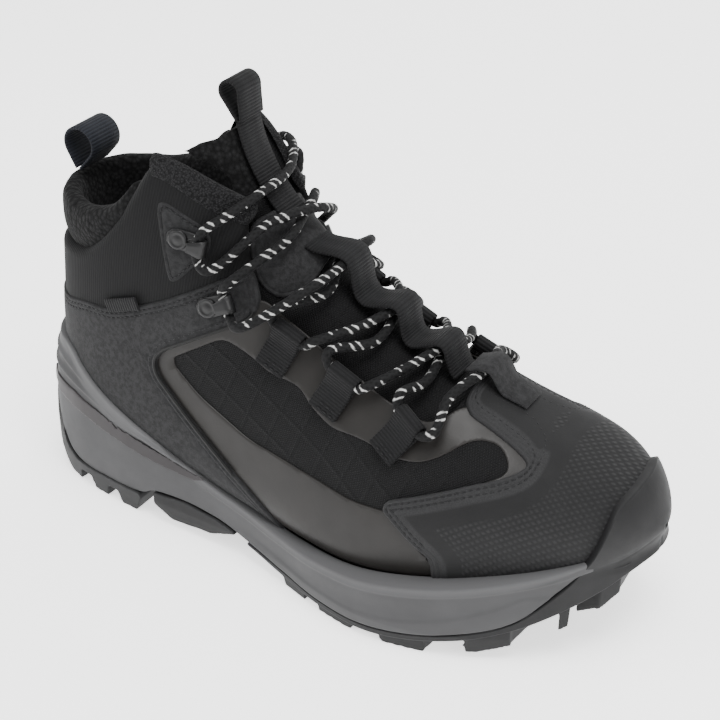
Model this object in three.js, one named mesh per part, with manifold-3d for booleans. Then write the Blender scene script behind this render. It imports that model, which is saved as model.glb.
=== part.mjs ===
// A mid-height hiking boot for the right foot, in millimetres.
// +X runs to the toe, -Y to the outer (lateral) side and +Z up; the lugs stand on z = 0.
import * as THREE from 'three';
import { mergeVertices } from 'three/addons/utils/BufferGeometryUtils.js';
import Module from 'manifold-3d';

const wasm = await Module();
wasm.setup();

// ---------------------------------------------------------------- driving dimensions
const BOOT_LENGTH = 306; // rearmost sole flare to the tip of the toe rand
const BALL_WIDTH = 116; // across the sole at the ball of the foot
const COLLAR_HEIGHT = 182; // ground to the side peak of the collar
const MESH_THICKNESS = 1.3;
const FILM_THICKNESS = 0.5;
const NUBUCK_THICKNESS = 1.3;
const STIFFENER_THICKNESS = 1.3; // heel counter, toe puff and lasting board
const LINING_THICKNESS = 2;
const COLLAR_FOAM = 7.4;
const COLLAR_ROLL = 2.4; // how far the collar swells out above the ankle panel
const TONGUE_THICKNESS = 5;
const TONGUE_DEPTH = 3.6; // top of the tongue below the upper's face
const FOOTBED_THICKNESS = 3.7;
const RAND_THICKNESS = 3; // toe rand
const WEB_WIDTH = 14; // lace loops
const WEB_THICKNESS = 1.5;
const STRAP_WIDTH = 18; // strap down the middle of the tongue
const PULL_WIDTH = 17; // tongue pull loop
const HEEL_PULL_WIDTH = 20;
const LACE_DIAMETER = 4.2;
const RIVET_RADIUS = 4.2;
const HOOK_LENGTH = 19;
const HOOK_WIDTH = 9;
const GAP = 0.3; // air left between touching pieces

// The stations are drawn at a sample size and graded to the driving sizes.
const SAMPLE = { length: 306, width: 116, height: 182, heel: -4 };
const gradeX = BOOT_LENGTH / SAMPLE.length;
const gradeY = BALL_WIDTH / SAMPLE.width;
const gradeZ = COLLAR_HEIGHT / SAMPLE.height;
const MID_X = SAMPLE.heel + SAMPLE.length / 2; // the row's origin lies under the middle of the length
const MID_Y = -5; // and under the middle of the width
const gx = (x) => (x - MID_X) * gradeX;
const gy = (y) => (y - MID_Y) * gradeY;
const gz = (z) => z * gradeZ;

// ---------------------------------------------------------------- the last
// Each station is a slanting slice of the foot: front (or top) point, back (or bottom) point,
// outer and inner half widths, where along the slice it is widest, how square its front and
// back halves are, and the sideways shift of front and back.
const STATIONS = [
  [97, 212, 5, 205, 35, 35, 0.52, 2.3, 2.3, 0, 0],
  [104, 186, 6, 166, 37, 37, 0.52, 2.3, 2.3, 0, 0],
  [114, 169, 7, 138, 38.5, 38, 0.5, 2.2, 2.4, 0, 0],
  [126, 156.5, 8, 112, 39, 37.5, 0.5, 2.1, 2.5, 0, 0],
  [139, 146.5, 6, 88, 38.5, 37, 0.48, 2, 2.6, 0, 0],
  [152, 137, 6, 64, 39.5, 37.5, 0.47, 2, 2.6, 0, 0],
  [165, 129, 11, 40, 41.5, 38, 0.5, 2, 2.7, 0, 0],
  [176, 122.5, 27, 29, 43, 38.5, 0.52, 2, 2.8, 0, 0],
  [187, 117, 56, 27.5, 44, 39, 0.56, 2, 3, 0, 0],
  [198, 112, 88, 26, 45, 39.5, 0.6, 2, 3.2, 0, 0],
  [209, 108, 120, 24, 47.5, 41, 0.64, 2.1, 3.5, 1, 0],
  [221, 103.5, 152, 22.5, 52, 42.5, 0.68, 2.2, 3.8, 2, -1],
  [234, 98, 183, 22.5, 56, 44, 0.7, 2.2, 4, 4, 0],
  [247, 92.5, 212, 24.5, 54.5, 43, 0.68, 2.3, 4, 6, 3],
  [260, 87.5, 238, 29, 48, 40, 0.66, 2.4, 3.8, 8, 6],
  [272, 82, 259, 34, 41, 35, 0.64, 2.5, 3.4, 10, 9],
  [282, 75, 275, 39, 32, 29, 0.62, 2.5, 3, 11, 11],
  [289, 67, 286, 44, 21, 20, 0.6, 2.4, 2.6, 12, 12],
  [293.5, 59, 292.5, 49.5, 10, 10, 0.55, 2.2, 2.2, 13, 13],
  [295.5, 54, 295.5, 54, 0, 0, 0.5, 2, 2, 13, 13],
];
const LAST_STATION = STATIONS.length - 1;
const BLUNT_STATION = 17.5; // the last slice that the shells follow before they close on the tip
const RING_STEPS = 18;

// Smooth (Catmull-Rom) values between the stations.
function station(s) {
  const i = Math.min(Math.floor(s), LAST_STATION - 1);
  const t = s - i;
  const rows = [Math.max(i - 1, 0), i, i + 1, Math.min(i + 2, LAST_STATION)].map((k) => STATIONS[k]);
  return rows[1].map((p1, k) => {
    const [p0, , p2, p3] = rows.map((row) => row[k]);
    const m1 = (p2 - p0) / 2;
    const m2 = (p3 - p1) / 2;
    const t2 = t * t;
    const t3 = t2 * t;
    return (2 * t3 - 3 * t2 + 1) * p1 + (t3 - 2 * t2 + t) * m1 + (3 * t2 - 2 * t3) * p2 + (t3 - t2) * m2;
  });
}

// A point on the upper's outer face: around = 0 on the ridge, +PI under the outer side.
function onLast(s, around) {
  const [fx, fz, bx, bz, outer, inner, widest, squareFront, squareBack, fy, by] = station(s);
  const c = Math.cos(around);
  const front = c >= 0;
  const power = 2 / (front ? squareFront : squareBack);
  const reach = Math.abs(c) ** power;
  const width = Math.abs(Math.sin(around)) ** power;
  const d = front ? widest * (1 - reach) : widest + (1 - widest) * reach;
  const y = fy + (by - fy) * d + (around > 0 ? -outer : inner) * width;
  return new THREE.Vector3(gx(fx + (bx - fx) * d), gy(y), gz(fz + (bz - fz) * d));
}

const NUDGE = 0.03;
function normalAt(s, around) {
  const alongS = onLast(Math.min(s + NUDGE, LAST_STATION), around)
    .sub(onLast(Math.max(s - NUDGE, 0), around));
  const alongRing = onLast(s, around + NUDGE).sub(onLast(s, around - NUDGE));
  return alongRing.cross(alongS).normalize();
}

function offLast(s, around, lift) {
  return onLast(s, around).addScaledVector(normalAt(s, around), lift);
}

// ---------------------------------------------------------------- solids
function toSolid(geometry) {
  const bare = geometry.clone();
  bare.deleteAttribute('normal');
  bare.deleteAttribute('uv');
  const merged = mergeVertices(bare, 1e-4);
  return new wasm.Manifold(new wasm.Mesh({
    numProp: 3,
    vertProperties: new Float32Array(merged.attributes.position.array),
    triVerts: new Uint32Array(merged.index.array),
  }));
}

function toGeometry(solid) {
  const mesh = solid.getMesh();
  const geometry = new THREE.BufferGeometry();
  geometry.setAttribute('position', new THREE.BufferAttribute(new Float32Array(mesh.vertProperties), 3));
  geometry.setIndex(new THREE.BufferAttribute(new Uint32Array(mesh.triVerts), 1));
  geometry.computeVertexNormals();
  return geometry;
}

function fromTriangles(points, faces) {
  const geometry = new THREE.BufferGeometry();
  geometry.setAttribute('position', new THREE.Float32BufferAttribute(points.flatMap((p) => p.toArray()), 3));
  geometry.setIndex(faces);
  return toSolid(geometry);
}

// One wrapped face at a lift off the last: rings of points, then the tip.
function faceRings(lift) {
  const slices = [];
  for (let s = 0; s < BLUNT_STATION; s += 1) slices.push(s);
  slices.push(BLUNT_STATION);
  const points = slices.flatMap((s) => Array.from({ length: RING_STEPS }, (_, k) => (
    offLast(s, Math.PI - ((k + 0.5) * 2 * Math.PI) / RING_STEPS, lift))));
  points.push(onLast(LAST_STATION, 0).add(new THREE.Vector3(lift, 0, 0)));
  return { points, rings: slices.length };
}

// The faces of one wrapped sheet, seen from outside, or from inside when flipped.
function sheetFaces(rings, base, flipped) {
  const faces = [];
  const put = (a, b, c) => (flipped ? faces.push(a, b, c) : faces.push(a, c, b));
  const at = (ring, k) => base + ring * RING_STEPS + (k % RING_STEPS);
  for (let k = 0; k < RING_STEPS; k += 1) {
    for (let r = 0; r + 1 < rings; r += 1) {
      put(at(r, k), at(r, k + 1), at(r + 1, k + 1));
      put(at(r, k), at(r + 1, k + 1), at(r + 1, k));
    }
    put(at(rings - 1, k), at(rings - 1, k + 1), base + rings * RING_STEPS);
  }
  return faces;
}

// The sheet between two lifts off the last, open at the collar and closed round the toe.
function shell(low, high) {
  const inner = faceRings(low);
  const outer = faceRings(high);
  const base = inner.points.length;
  const faces = [...sheetFaces(inner.rings, 0, true), ...sheetFaces(outer.rings, base, false)];
  for (let k = 0; k < RING_STEPS; k += 1) {
    const next = (k + 1) % RING_STEPS;
    faces.push(next, k, base + k, next, base + k, base + next);
  }
  return fromTriangles([...inner.points, ...outer.points], faces);
}

// The whole space inside one lift of the last.
function core(lift) {
  const { points, rings } = faceRings(lift);
  const faces = sheetFaces(rings, 0, false);
  const lid = points.length;
  const middle = points.slice(0, RING_STEPS).reduce((sum, p) => sum.add(p), new THREE.Vector3());
  points.push(middle.divideScalar(RING_STEPS));
  for (let k = 0; k < RING_STEPS; k += 1) faces.push(k, (k + 1) % RING_STEPS, lid);
  return fromTriangles(points, faces);
}

const FAR = 200;
const outline = (points) => new THREE.Shape(points.map(([x, z]) => new THREE.Vector2(x, z)));

// A prism through the boot from side to side; the outline is drawn in the side view.
function sidePrism(points, low = -FAR, high = FAR) {
  const shape = outline(points.map(([x, z]) => [gx(x), gz(z)]));
  const geometry = new THREE.ExtrudeGeometry(shape, { depth: high - low, bevelEnabled: false, steps: 1 });
  geometry.rotateX(Math.PI / 2);
  geometry.translate(0, high, 0);
  return toSolid(geometry);
}

// A prism standing on the plan view's outline.
function planPrism(points, low = -FAR, high = FAR) {
  const shape = outline(points.map(([x, y]) => [gx(x), gy(y)]));
  const geometry = new THREE.ExtrudeGeometry(shape, { depth: high - low, bevelEnabled: false, steps: 1 });
  geometry.translate(0, 0, low);
  return toSolid(geometry);
}


const boot = new THREE.Group();
boot.name = 'hiking_boot';

function addPiece(name, geometry, finish) {
  const mesh = new THREE.Mesh(geometry, new THREE.MeshStandardMaterial(finish));
  mesh.name = name;
  boot.add(mesh);
  return mesh;
}
const addSolid = (name, solid, finish) => addPiece(name, toGeometry(solid), finish);

const FINISH = {
  nubuck: { color: 0x3b3b3d, roughness: 0.95, metalness: 0 },
  mesh: { color: 0x141415, roughness: 0.9, metalness: 0 },
  softshell: { color: 0x1b1b1d, roughness: 0.85, metalness: 0 },
  film: { color: 0x3d3936, roughness: 0.45, metalness: 0 },
  knit: { color: 0x1d1d1e, roughness: 1, metalness: 0 },
  lining: { color: 0x222224, roughness: 1, metalness: 0 },
  webbing: { color: 0x232326, roughness: 0.8, metalness: 0 },
  lace: { color: 0x1a1a1b, roughness: 0.8, metalness: 0 },
  hook: { color: 0x2b2b2d, roughness: 0.45, metalness: 0.6 },
  foam: { color: 0x6b6b6c, roughness: 0.8, metalness: 0 },
  inset: { color: 0x4b4749, roughness: 0.7, metalness: 0 },
  rubber: { color: 0x2b2b2c, roughness: 0.7, metalness: 0 },
  board: { color: 0xb9a88c, roughness: 0.9, metalness: 0 },
  plastic: { color: 0x2f3033, roughness: 0.5, metalness: 0 },
};

// ---------------------------------------------------------------- lines drawn on the side view
const throat = [[115, 176], [114, 156], [119, 141], [125.5, 128], [136, 121.5], [145, 117], [159, 109],
  [170, 105], [184, 98.7], [196, 95.8], [207, 94], [213, 97], [216, 101.5], [217, 106], [217, 140]];
const panelTop = [[-20, 126], [24, 127], [36, 130], [46, 139], [57, 153], [66, 169], [71, 178], [76, 182],
  [86, 178], [98, 171], [107, 166], [114, 165]];
const rollTop = [[-20, 149], [14, 151], [36, 151], [50, 157], [60, 166], [66.5, 173]];
const quarterTop = [[-20, 98], [20, 98], [35, 103], [51, 105], [67, 112], [81, 119], [98, 129], [108, 135],
  [119, 141]];
const quarterFront = [[126, 127], [122, 119], [99, 105.5], [81, 94], [77, 88], [79, 82], [99, 65.5],
  [118, 50], [135, 38], [150, 28], [150, 10], [-20, 10]];
const filmWindow = [[84, 91], [101, 79], [129, 66.5], [156, 62], [184, 60], [203, 62], [219, 73], [233, 79],
  [246, 84], [238, 91], [227, 93], [217, 86], [210, 83], [202, 82], [189, 83], [179, 84], [167, 84],
  [156, 90], [149, 97], [134, 99], [125, 104], [111, 109]];
const toeCapRear = [[223, 10], [223, 46], [205, 59.5], [200, 62], [201, 66.5], [219, 74], [233, 79.5],
  [246, 83], [251, 85.5], [242, 90], [230, 95], [220, 99], [216, 103], [217, 125], [330, 125], [330, 10]];
const collarLow = [[113, 152], [100, 148], [84, 134], [70, 124], [30, 106], [-20, 106]];
const rim = [[-20, 73], [20, 72], [29, 67], [48, 58], [72, 48.5], [95, 38.5], [118, 31], [150, 27],
  [188, 29.5], [212, 33], [242, 38.5], [267, 44.5], [284, 49]];

const shifted = (points, dx, dz) => points.map(([x, z]) => [x + dx, z + dz]);

// ---------------------------------------------------------------- layers of the upper, inside to outside
const meshLow = -MESH_THICKNESS;
const stiffHigh = meshLow - GAP;
const stiffLow = stiffHigh - STIFFENER_THICKNESS;
const liningHigh = stiffLow - GAP;
const liningLow = liningHigh - LINING_THICKNESS;
const footbedHigh = liningLow - GAP;
const filmLow = GAP;
const filmHigh = filmLow + FILM_THICKNESS;
const nubuckLow = filmHigh + GAP;
const nubuckHigh = nubuckLow + NUBUCK_THICKNESS;
const wrap = nubuckHigh + GAP; // the sole's cup clears every layer of the upper

const throatBelow = sidePrism([[-30, 260], [-30, -20], [330, -20], [330, 140], ...[...throat].reverse(),
  [115, 260]]);
const tongueLine = [[99, 172], [98.5, 150], [104, 134], [112, 118], [128, 108], [150, 95], [175, 86],
  [198, 82], [212, 83], [224, 90], [229, 98], [229, 140]];
const everywhere = [[-30, -20], [340, -20], [340, 260], [-30, 260]];
const SEAM = 0.8; // air between cut edges that meet

function makeUpper() {
  const outerSkin = shell(meshLow, 0);
  const meshTop = sidePrism([[-30, -20], [330, -20], [330, 260], [121, 260], [121, 136],
    ...shifted(quarterTop, 0, -7).reverse()]);
  const window = planPrism([[22, -16], [60, -22], [120, -22], [165, -34], [200, -38], [235, -31], [262, -14],
    [274, 10], [262, 30], [215, 34], [170, 28], [120, 20], [60, 20], [22, 16]], 0, gz(45));
  addSolid('mesh_upper', outerSkin.intersect(throatBelow).intersect(meshTop).subtract(window), FINISH.mesh);

  const ankle = sidePrism([...panelTop, [114, 156], [118, 143],
    ...shifted(quarterTop, 0, -6).reverse().slice(1)]);
  addSolid('ankle_panel', outerSkin.intersect(ankle), FINISH.softshell);

  const nubuck = shell(nubuckLow, nubuckHigh);
  addSolid('quarter_overlay', nubuck.intersect(sidePrism([...quarterTop, ...quarterFront])).subtract(window),
    FINISH.nubuck);
  addSolid('toe_cap', nubuck.intersect(sidePrism(toeCapRear)).subtract(window), FINISH.nubuck);

  const film = shell(filmLow, filmHigh);
  const sheet = film.intersect(throatBelow)
    .intersect(sidePrism([[70, 10], [70, 92], [81, 99], [99, 112], [119, 126], [125.5, 131], [330, 131],
      [330, 10]]))
    .subtract(sidePrism([[228, 10], [228, 45], [212, 57], [222, 66], [250, 76], [262, 86], [250, 92],
      [226, 101], [226, 140], [340, 140], [340, 10]]))
    .subtract(sidePrism(filmWindow)).subtract(window);
  const sides = { lateral: [-FAR, gy(-3)], medial: [gy(3), FAR] };
  for (const [side, [low, high]] of Object.entries(sides)) {
    const half = sidePrism(everywhere, low, high);
    const rest = sheet.intersect(half).intersect(sidePrism([[-30, 36], [330, 20], [330, 260], [-30, 260]]));
    addSolid(`film_${side}`, rest, FINISH.film);
  }

  const stiff = shell(stiffLow, stiffHigh);
  addSolid('heel_counter', stiff.intersect(sidePrism([[-20, 37], [64, 37], [58, 62], [42, 84], [-20, 90]])),
    FINISH.plastic);
  addSolid('toe_puff', stiff.intersect(sidePrism([[262, 46], [258, 62], [262, 96], [330, 96], [330, 50]])),
    FINISH.plastic);
  addSolid('lasting_board', stiff.intersect(sidePrism([[14, 20], [22, 35], [60, 34], [120, 31], [183, 30],
    [212, 32], [238, 36.5], [259, 41.5], [276, 46], [284, 46], [284, 20]])), FINISH.board);

  const liningCut = sidePrism([[-30, -20], [330, -20], [330, 130],
    ...shifted(tongueLine.slice(2), -0.6, -SEAM * 2).reverse(), [98, 145],
    ...shifted(collarLow.slice(2), 0, -SEAM)]);
  addSolid('lining', shell(liningLow, liningHigh).intersect(liningCut), FINISH.lining);

  const padFront = 97.5;
  const padCut = sidePrism([...shifted(panelTop.filter(([x]) => x < padFront), 0, -1.5), [padFront, 169.5],
    [padFront, 146], ...collarLow.slice(2)]);
  const padIn = shell(meshLow - GAP - COLLAR_FOAM, meshLow - GAP).intersect(padCut);
  const rollCut = sidePrism([...rollTop, ...shifted(panelTop.slice(0, 6), -0.6, 0.8).reverse()]);
  const roll = shell(meshLow - GAP - COLLAR_FOAM, COLLAR_ROLL).intersect(rollCut);
  const bridge = shell(meshLow - GAP - COLLAR_FOAM, meshLow - GAP)
    .intersect(sidePrism([[-20, 120], [24, 120], [40, 126], [60, 150], [66, 166],
      ...[...rollTop].reverse()]));
  addSolid('collar_padding', padIn.add(bridge).add(roll), FINISH.knit);

  const tongueCut = sidePrism([...shifted(tongueLine, 0.6, SEAM), [330, 140], [330, 194], [104, 194],
    [95, 193.5], [86, 190], [79, 184.5], [86, 179]]);
  addSolid('tongue', shell(-TONGUE_DEPTH - TONGUE_THICKNESS, -TONGUE_DEPTH).intersect(tongueCut),
    FINISH.knit);
}
makeUpper();

// ---------------------------------------------------------------- places on the side of the upper
// Turns a side-view point into the slice it lies on and the angle round that slice.
function locate([x, z]) {
  const offside = (s) => {
    const [fx, fz, bx, bz] = station(s);
    return (bx - fx) * (z - fz) - (bz - fz) * (x - fx);
  };
  let [low, high] = [0, LAST_STATION - 0.5];
  const sign = Math.sign(offside(low));
  for (let step = 0; step < 40; step += 1) {
    const half = (low + high) / 2;
    if (Math.sign(offside(half)) === sign) low = half;
    else high = half;
  }
  const [fx, fz, bx, bz, , , widest, squareFront, squareBack] = station(low);
  const d = ((x - fx) * (bx - fx) + (z - fz) * (bz - fz)) / ((bx - fx) ** 2 + (bz - fz) ** 2);
  const c = d < widest ? (1 - Math.max(d, 0) / widest) ** (squareFront / 2)
    : -(((d - widest) / (1 - widest)) ** (squareBack / 2));
  return { s: low, around: Math.acos(c) };
}

// The frame of a small part on the upper's side: it points from one side-view point to another.
function seat(from, to, side, lift) {
  const [a, b] = [from, to].map((point) => {
    const { s, around } = locate(point);
    return { s, around: around * side };
  });
  const base = offLast(a.s, a.around, lift);
  const normal = normalAt(a.s, a.around);
  const along = offLast(b.s, b.around, lift).sub(base);
  along.addScaledVector(normal, -along.dot(normal)).normalize();
  const across = new THREE.Vector3().crossVectors(normal, along);
  return new THREE.Matrix4().makeBasis(along, across, normal).setPosition(base);
}

// A strip bent in the (along, normal) plane of its seat; its width runs across.
function bentStrip(shape, width) {
  const geometry = new THREE.ExtrudeGeometry(shape,
    { depth: width, bevelEnabled: false, steps: 1, curveSegments: 8 });
  geometry.rotateX(Math.PI / 2);
  geometry.translate(0, width / 2, 0);
  return geometry;
}

const SIDES = { lateral: 1, medial: -1 };
// Sewn end and fold of each lace loop, from the ankle down to the toe.
const LOOPS = [[[136.5, 106], [141, 117.5]], [[164, 94], [168.5, 104.5]], [[196, 85.5], [202, 93.5]]];
const LOOP_REACH = 13.5; // sewn end to the middle of the lace
const LOOP_SEWN = 3;
const laceRoom = LACE_DIAMETER / 2 + GAP;

// Two layers of webbing sewn together, parting into an eye round the lace.
function loopShape() {
  const outer = laceRoom + WEB_THICKNESS;
  const shape = new THREE.Shape();
  shape.moveTo(-LOOP_SEWN, 0);
  shape.lineTo(LOOP_REACH, 0);
  shape.absarc(LOOP_REACH, outer, outer, -Math.PI / 2, Math.PI / 2, false);
  shape.lineTo(LOOP_REACH - 1.6 * outer, 2 * WEB_THICKNESS);
  shape.lineTo(-LOOP_SEWN, 2 * WEB_THICKNESS);
  const eye = new THREE.Path();
  eye.absarc(LOOP_REACH, outer, laceRoom, 0, 2 * Math.PI, true);
  shape.holes.push(eye);
  return shape;
}

// Where each hook's rivet sits, and a point that its open end faces.
const HOOKS = { upper: [[88.4, 150.1], [104, 148]], lower: [[104, 122], [116, 127]] };
const HOOK_PLATE = 1.1;
const HOOK_TAIL = 5; // plate behind the rivet
const HOOK_LIP = 9; // how far the free arm comes back over the lace
const RIVET_SHANK = 1.7;

// A plate that folds up at the front and comes back over the lace.
function hookShape() {
  const room = LACE_DIAMETER + 2 * GAP;
  const bend = room / 2 + HOOK_PLATE;
  const front = HOOK_LENGTH - HOOK_TAIL - bend;
  const shape = new THREE.Shape();
  shape.moveTo(-HOOK_TAIL, 0);
  shape.lineTo(front, 0);
  shape.absarc(front, bend, bend, -Math.PI / 2, Math.PI / 2, false);
  shape.lineTo(front - HOOK_LIP + bend, room + 2 * HOOK_PLATE);
  shape.lineTo(front - HOOK_LIP + bend, room + HOOK_PLATE);
  shape.lineTo(front, room + HOOK_PLATE);
  shape.absarc(front, bend, room / 2, Math.PI / 2, -Math.PI / 2, true);
  shape.lineTo(-HOOK_TAIL, HOOK_PLATE);
  return shape;
}

function makeHardware() {
  const webLift = filmHigh + GAP + 0.6; // flat webbing on a round upper touches at its middle only
  const patch = [[77, 163.5], [80.5, 166], [101, 155], [102.5, 146], [87.5, 129], [83.5, 129]];
  const patchHigh = GAP + NUBUCK_THICKNESS;
  const patchSheet = shell(GAP, patchHigh).intersect(sidePrism(patch));
  for (const [side, sign] of Object.entries(SIDES)) {
    const range = sign > 0 ? [-FAR, gy(-5)] : [gy(5), FAR];
    addSolid(`hook_patch_${side}`, patchSheet.intersect(sidePrism(everywhere, ...range)), FINISH.nubuck);
    LOOPS.forEach(([from, to], k) => {
      const geometry = bentStrip(loopShape(), WEB_WIDTH);
      geometry.applyMatrix4(seat(from, to, sign, webLift));
      addPiece(`lace_loop_${side}_${k + 1}`, geometry, FINISH.webbing);
    });
    for (const [name, [from, to]] of Object.entries(HOOKS)) {
      const lift = (name === 'upper' ? patchHigh : nubuckHigh) + GAP + 0.5;
      const place = seat(from, to, sign, lift);
      const hole = new THREE.CylinderGeometry(RIVET_SHANK + GAP, RIVET_SHANK + GAP, 4 * HOOK_PLATE, 12);
      hole.rotateX(Math.PI / 2);
      const plate = toSolid(bentStrip(hookShape(), HOOK_WIDTH)).subtract(toSolid(hole));
      const hook = toGeometry(plate);
      hook.applyMatrix4(place);
      addPiece(`hook_${name}_${side}`, hook, FINISH.hook);
      const head = HOOK_PLATE + GAP;
      const profile = [[0, 0.2], [RIVET_SHANK, 0.2], [RIVET_SHANK, head], [RIVET_RADIUS, head],
        [RIVET_RADIUS, head + 0.7], [RIVET_RADIUS - 1, head + 1.3], [0, head + 1.5]];
      const rivet = new THREE.LatheGeometry(profile.map(([x, y]) => new THREE.Vector2(x, y)), 16);
      rivet.rotateX(Math.PI / 2);
      rivet.applyMatrix4(place);
      addPiece(`rivet_${name}_${side}`, rivet, FINISH.hook);
    }
  }
}
makeHardware();

// ---------------------------------------------------------------- tongue dressing, pull loops and tag
const STRAP_SEWN = [3.7, 5.8, 7.9, 10]; // slices where the strap is stitched down
const STRAP_ARCH = 2 * LACE_DIAMETER + 7 * GAP; // two laces cross beneath each keeper
const ridge = (s, lift) => {
  const point = offLast(s, 0, lift);
  return [point.x, point.z];
};
const ridgeStrip = (lines, width) => {
  const shape = outline(lines);
  const geometry = new THREE.ExtrudeGeometry(shape, { depth: width, bevelEnabled: false, steps: 1 });
  geometry.rotateX(Math.PI / 2);
  geometry.translate(0, gy(0) + width / 2, 0);
  return geometry;
};

function makeStrap() {
  const low = -TONGUE_DEPTH + GAP;
  const spans = STRAP_SEWN.length - 1;
  const steps = 8 * spans;
  const lowLine = [];
  const highLine = [];
  for (let k = 0; k <= steps; k += 1) {
    const s = STRAP_SEWN[0] + ((STRAP_SEWN.at(-1) - STRAP_SEWN[0]) * k) / steps;
    const rise = STRAP_ARCH * Math.sin((Math.PI * k) / 8) ** 2;
    lowLine.push(ridge(s, low + rise));
    highLine.push(ridge(s, low + rise + WEB_THICKNESS));
  }
  addPiece('tongue_strap', ridgeStrip([...lowLine, ...highLine.reverse()], STRAP_WIDTH), FINISH.webbing);
}

// A webbing loop standing on its sewn foot: a round eye whose two legs come together at the foot.
function pullShape(foot, centre, radius, thickness) {
  const [fx, fz] = [gx(foot[0]), gz(foot[1])];
  const [cx, cz] = [gx(centre[0]), gz(centre[1])];
  const toFoot = Math.atan2(fz - cz, fx - cx);
  const leave = (65 * Math.PI) / 180; // where the legs leave the round
  const sideways = [-Math.sin(toFoot) * thickness, Math.cos(toFoot) * thickness];
  const shape = new THREE.Shape();
  shape.moveTo(fx + sideways[0], fz + sideways[1]);
  shape.absarc(cx, cz, radius, toFoot + leave, toFoot - leave + 2 * Math.PI, false);
  shape.lineTo(fx - sideways[0], fz - sideways[1]);
  const eye = new THREE.Path();
  eye.absarc(cx, cz, radius - thickness, 0, 2 * Math.PI, true);
  shape.holes.push(eye);
  return shape;
}

const HEEL_PULL = { foot: [12.5, 152], centre: [13.5, 164], radius: 8.5 };
const TONGUE_PULL = { foot: [99.5, 195.3], centre: [94.5, 207.5], radius: 5.5 };

function pullLoop(name, { foot, centre, radius }, width) {
  const strip = bentStrip(pullShape(foot, centre, radius, WEB_THICKNESS), width);
  strip.translate(0, gy(0), 0);
  addPiece(name, strip, FINISH.webbing);
}

function makePulls() {
  pullLoop('heel_pull_loop', HEEL_PULL, HEEL_PULL_WIDTH);
  pullLoop('tongue_pull_loop', TONGUE_PULL, PULL_WIDTH);
  const steps = [0.72, 1, 1.3, 1.6, 1.9, 2.2];
  const front = -TONGUE_DEPTH + GAP;
  addPiece('tongue_pull_tab', ridgeStrip([...steps.map((s) => ridge(s, front)),
    ...[...steps].reverse().map((s) => ridge(s, front + WEB_THICKNESS))], PULL_WIDTH), FINISH.webbing);
}

function makeTrim() {
  const panel = shell(-TONGUE_DEPTH + GAP, -TONGUE_DEPTH + GAP + 1)
    .intersect(sidePrism([[114, 158], [117, 144], [122, 134], [131, 129], [140, 132], [144, 139], [143, 146],
      [132, 170]]));
  const strapRoom = toSolid(new THREE.BoxGeometry(60, STRAP_WIDTH + 2, 60)
    .translate(gx(133) + 30, gy(0), gz(140)));
  addSolid('tongue_panel', panel.subtract(strapRoom), FINISH.nubuck);
  const tag = shell(nubuckHigh + GAP, nubuckHigh + GAP + 1)
    .intersect(sidePrism([[50.5, 104], [52, 110.5], [68, 118], [70.5, 111.5]]))
    .intersect(sidePrism(everywhere, -FAR, 0));
  addSolid('side_tag', tag, FINISH.webbing);
  const footbed = shell(footbedHigh - FOOTBED_THICKNESS, footbedHigh)
    .intersect(sidePrism([[-20, 50], [22, 47], [60, 40], [120, 36.5], [180, 35.5], [212, 38], [238, 43],
      [262, 49], [300, 55], [300, 0], [-20, 0]]));
  addSolid('footbed', footbed, FINISH.lining);
}
// The nubuck tab that comes down over the lowest pass of the lace.
const TAB = { from: 10.15, to: 12, top: 10, foot: 11.6, width: 22, hump: 6.2 };

function makeThroatTab() {
  const steps = 12;
  const lines = [[], []];
  for (let k = 0; k <= steps; k += 1) {
    const s = TAB.from + ((TAB.to - TAB.from) * k) / steps;
    const share = Math.min(Math.max((s - TAB.top) / (TAB.foot - TAB.top), 0), 1);
    const lift = wrap + TAB.hump * Math.sin(Math.PI * share) ** 2;
    lines[0].push(ridge(s, lift));
    lines[1].push(ridge(s, lift + NUBUCK_THICKNESS));
  }
  addPiece('throat_tab', ridgeStrip([...lines[0], ...lines[1].reverse()], TAB.width), FINISH.nubuck);
}
makeStrap();
makeThroatTab();
makePulls();
makeTrim();

// ---------------------------------------------------------------- sole unit
const soleOutline = [[-4, 0], [-1, -15], [8, -28], [25, -36.5], [48, -41], [75, -43.5], [100, -44],
  [124, -45.5], [148, -51.5], [172, -59], [196, -63], [218, -60.5], [240, -53], [258, -43], [272, -32.5],
  [284, -19], [295, -4], [301, 9], [300, 22], [293, 35], [279, 46], [258, 52], [236, 53], [212, 52],
  [186, 49], [158, 45], [130, 42], [100, 41], [70, 40.5], [42, 38.5], [22, 33], [8, 25], [-1, 14]];
// Height of each layer of the sole's side wall, and how far it stands in from the outline there.
const soleWall = [[-1, 3], [12, 0.5], [26, 0], [50, 0], [82, 4.5]];

function soleLoft(inset) {
  const corners = soleOutline.map(([x, y]) => new THREE.Vector3(gx(x), gy(y), 0));
  const curve = new THREE.CatmullRomCurve3(corners, true);
  const count = soleOutline.length + 11;
  const rim2d = Array.from({ length: count }, (_, k) => {
    const point = curve.getPoint(k / count);
    const along = curve.getTangent(k / count);
    return { point, outward: new THREE.Vector3(along.y, -along.x, 0) };
  });
  const points = soleWall.flatMap(([z, back]) => rim2d.map(({ point, outward }) => (
    point.clone().addScaledVector(outward, -(back + inset)).setZ(gz(z)))));
  const faces = [];
  for (let layer = 0; layer + 1 < soleWall.length; layer += 1) {
    for (let k = 0; k < count; k += 1) {
      const [a, b] = [layer * count + k, layer * count + ((k + 1) % count)];
      faces.push(a, b, b + count, a, b + count, a + count);
    }
  }
  const flat = rim2d.map((_, k) => new THREE.Vector2(points[k].x, points[k].y));
  const top = (soleWall.length - 1) * count;
  for (const [a, b, c] of THREE.ShapeUtils.triangulateShape(flat, [])) {
    faces.push(a, c, b, top + a, top + b, top + c);
  }
  return fromTriangles(points, faces);
}

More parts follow.
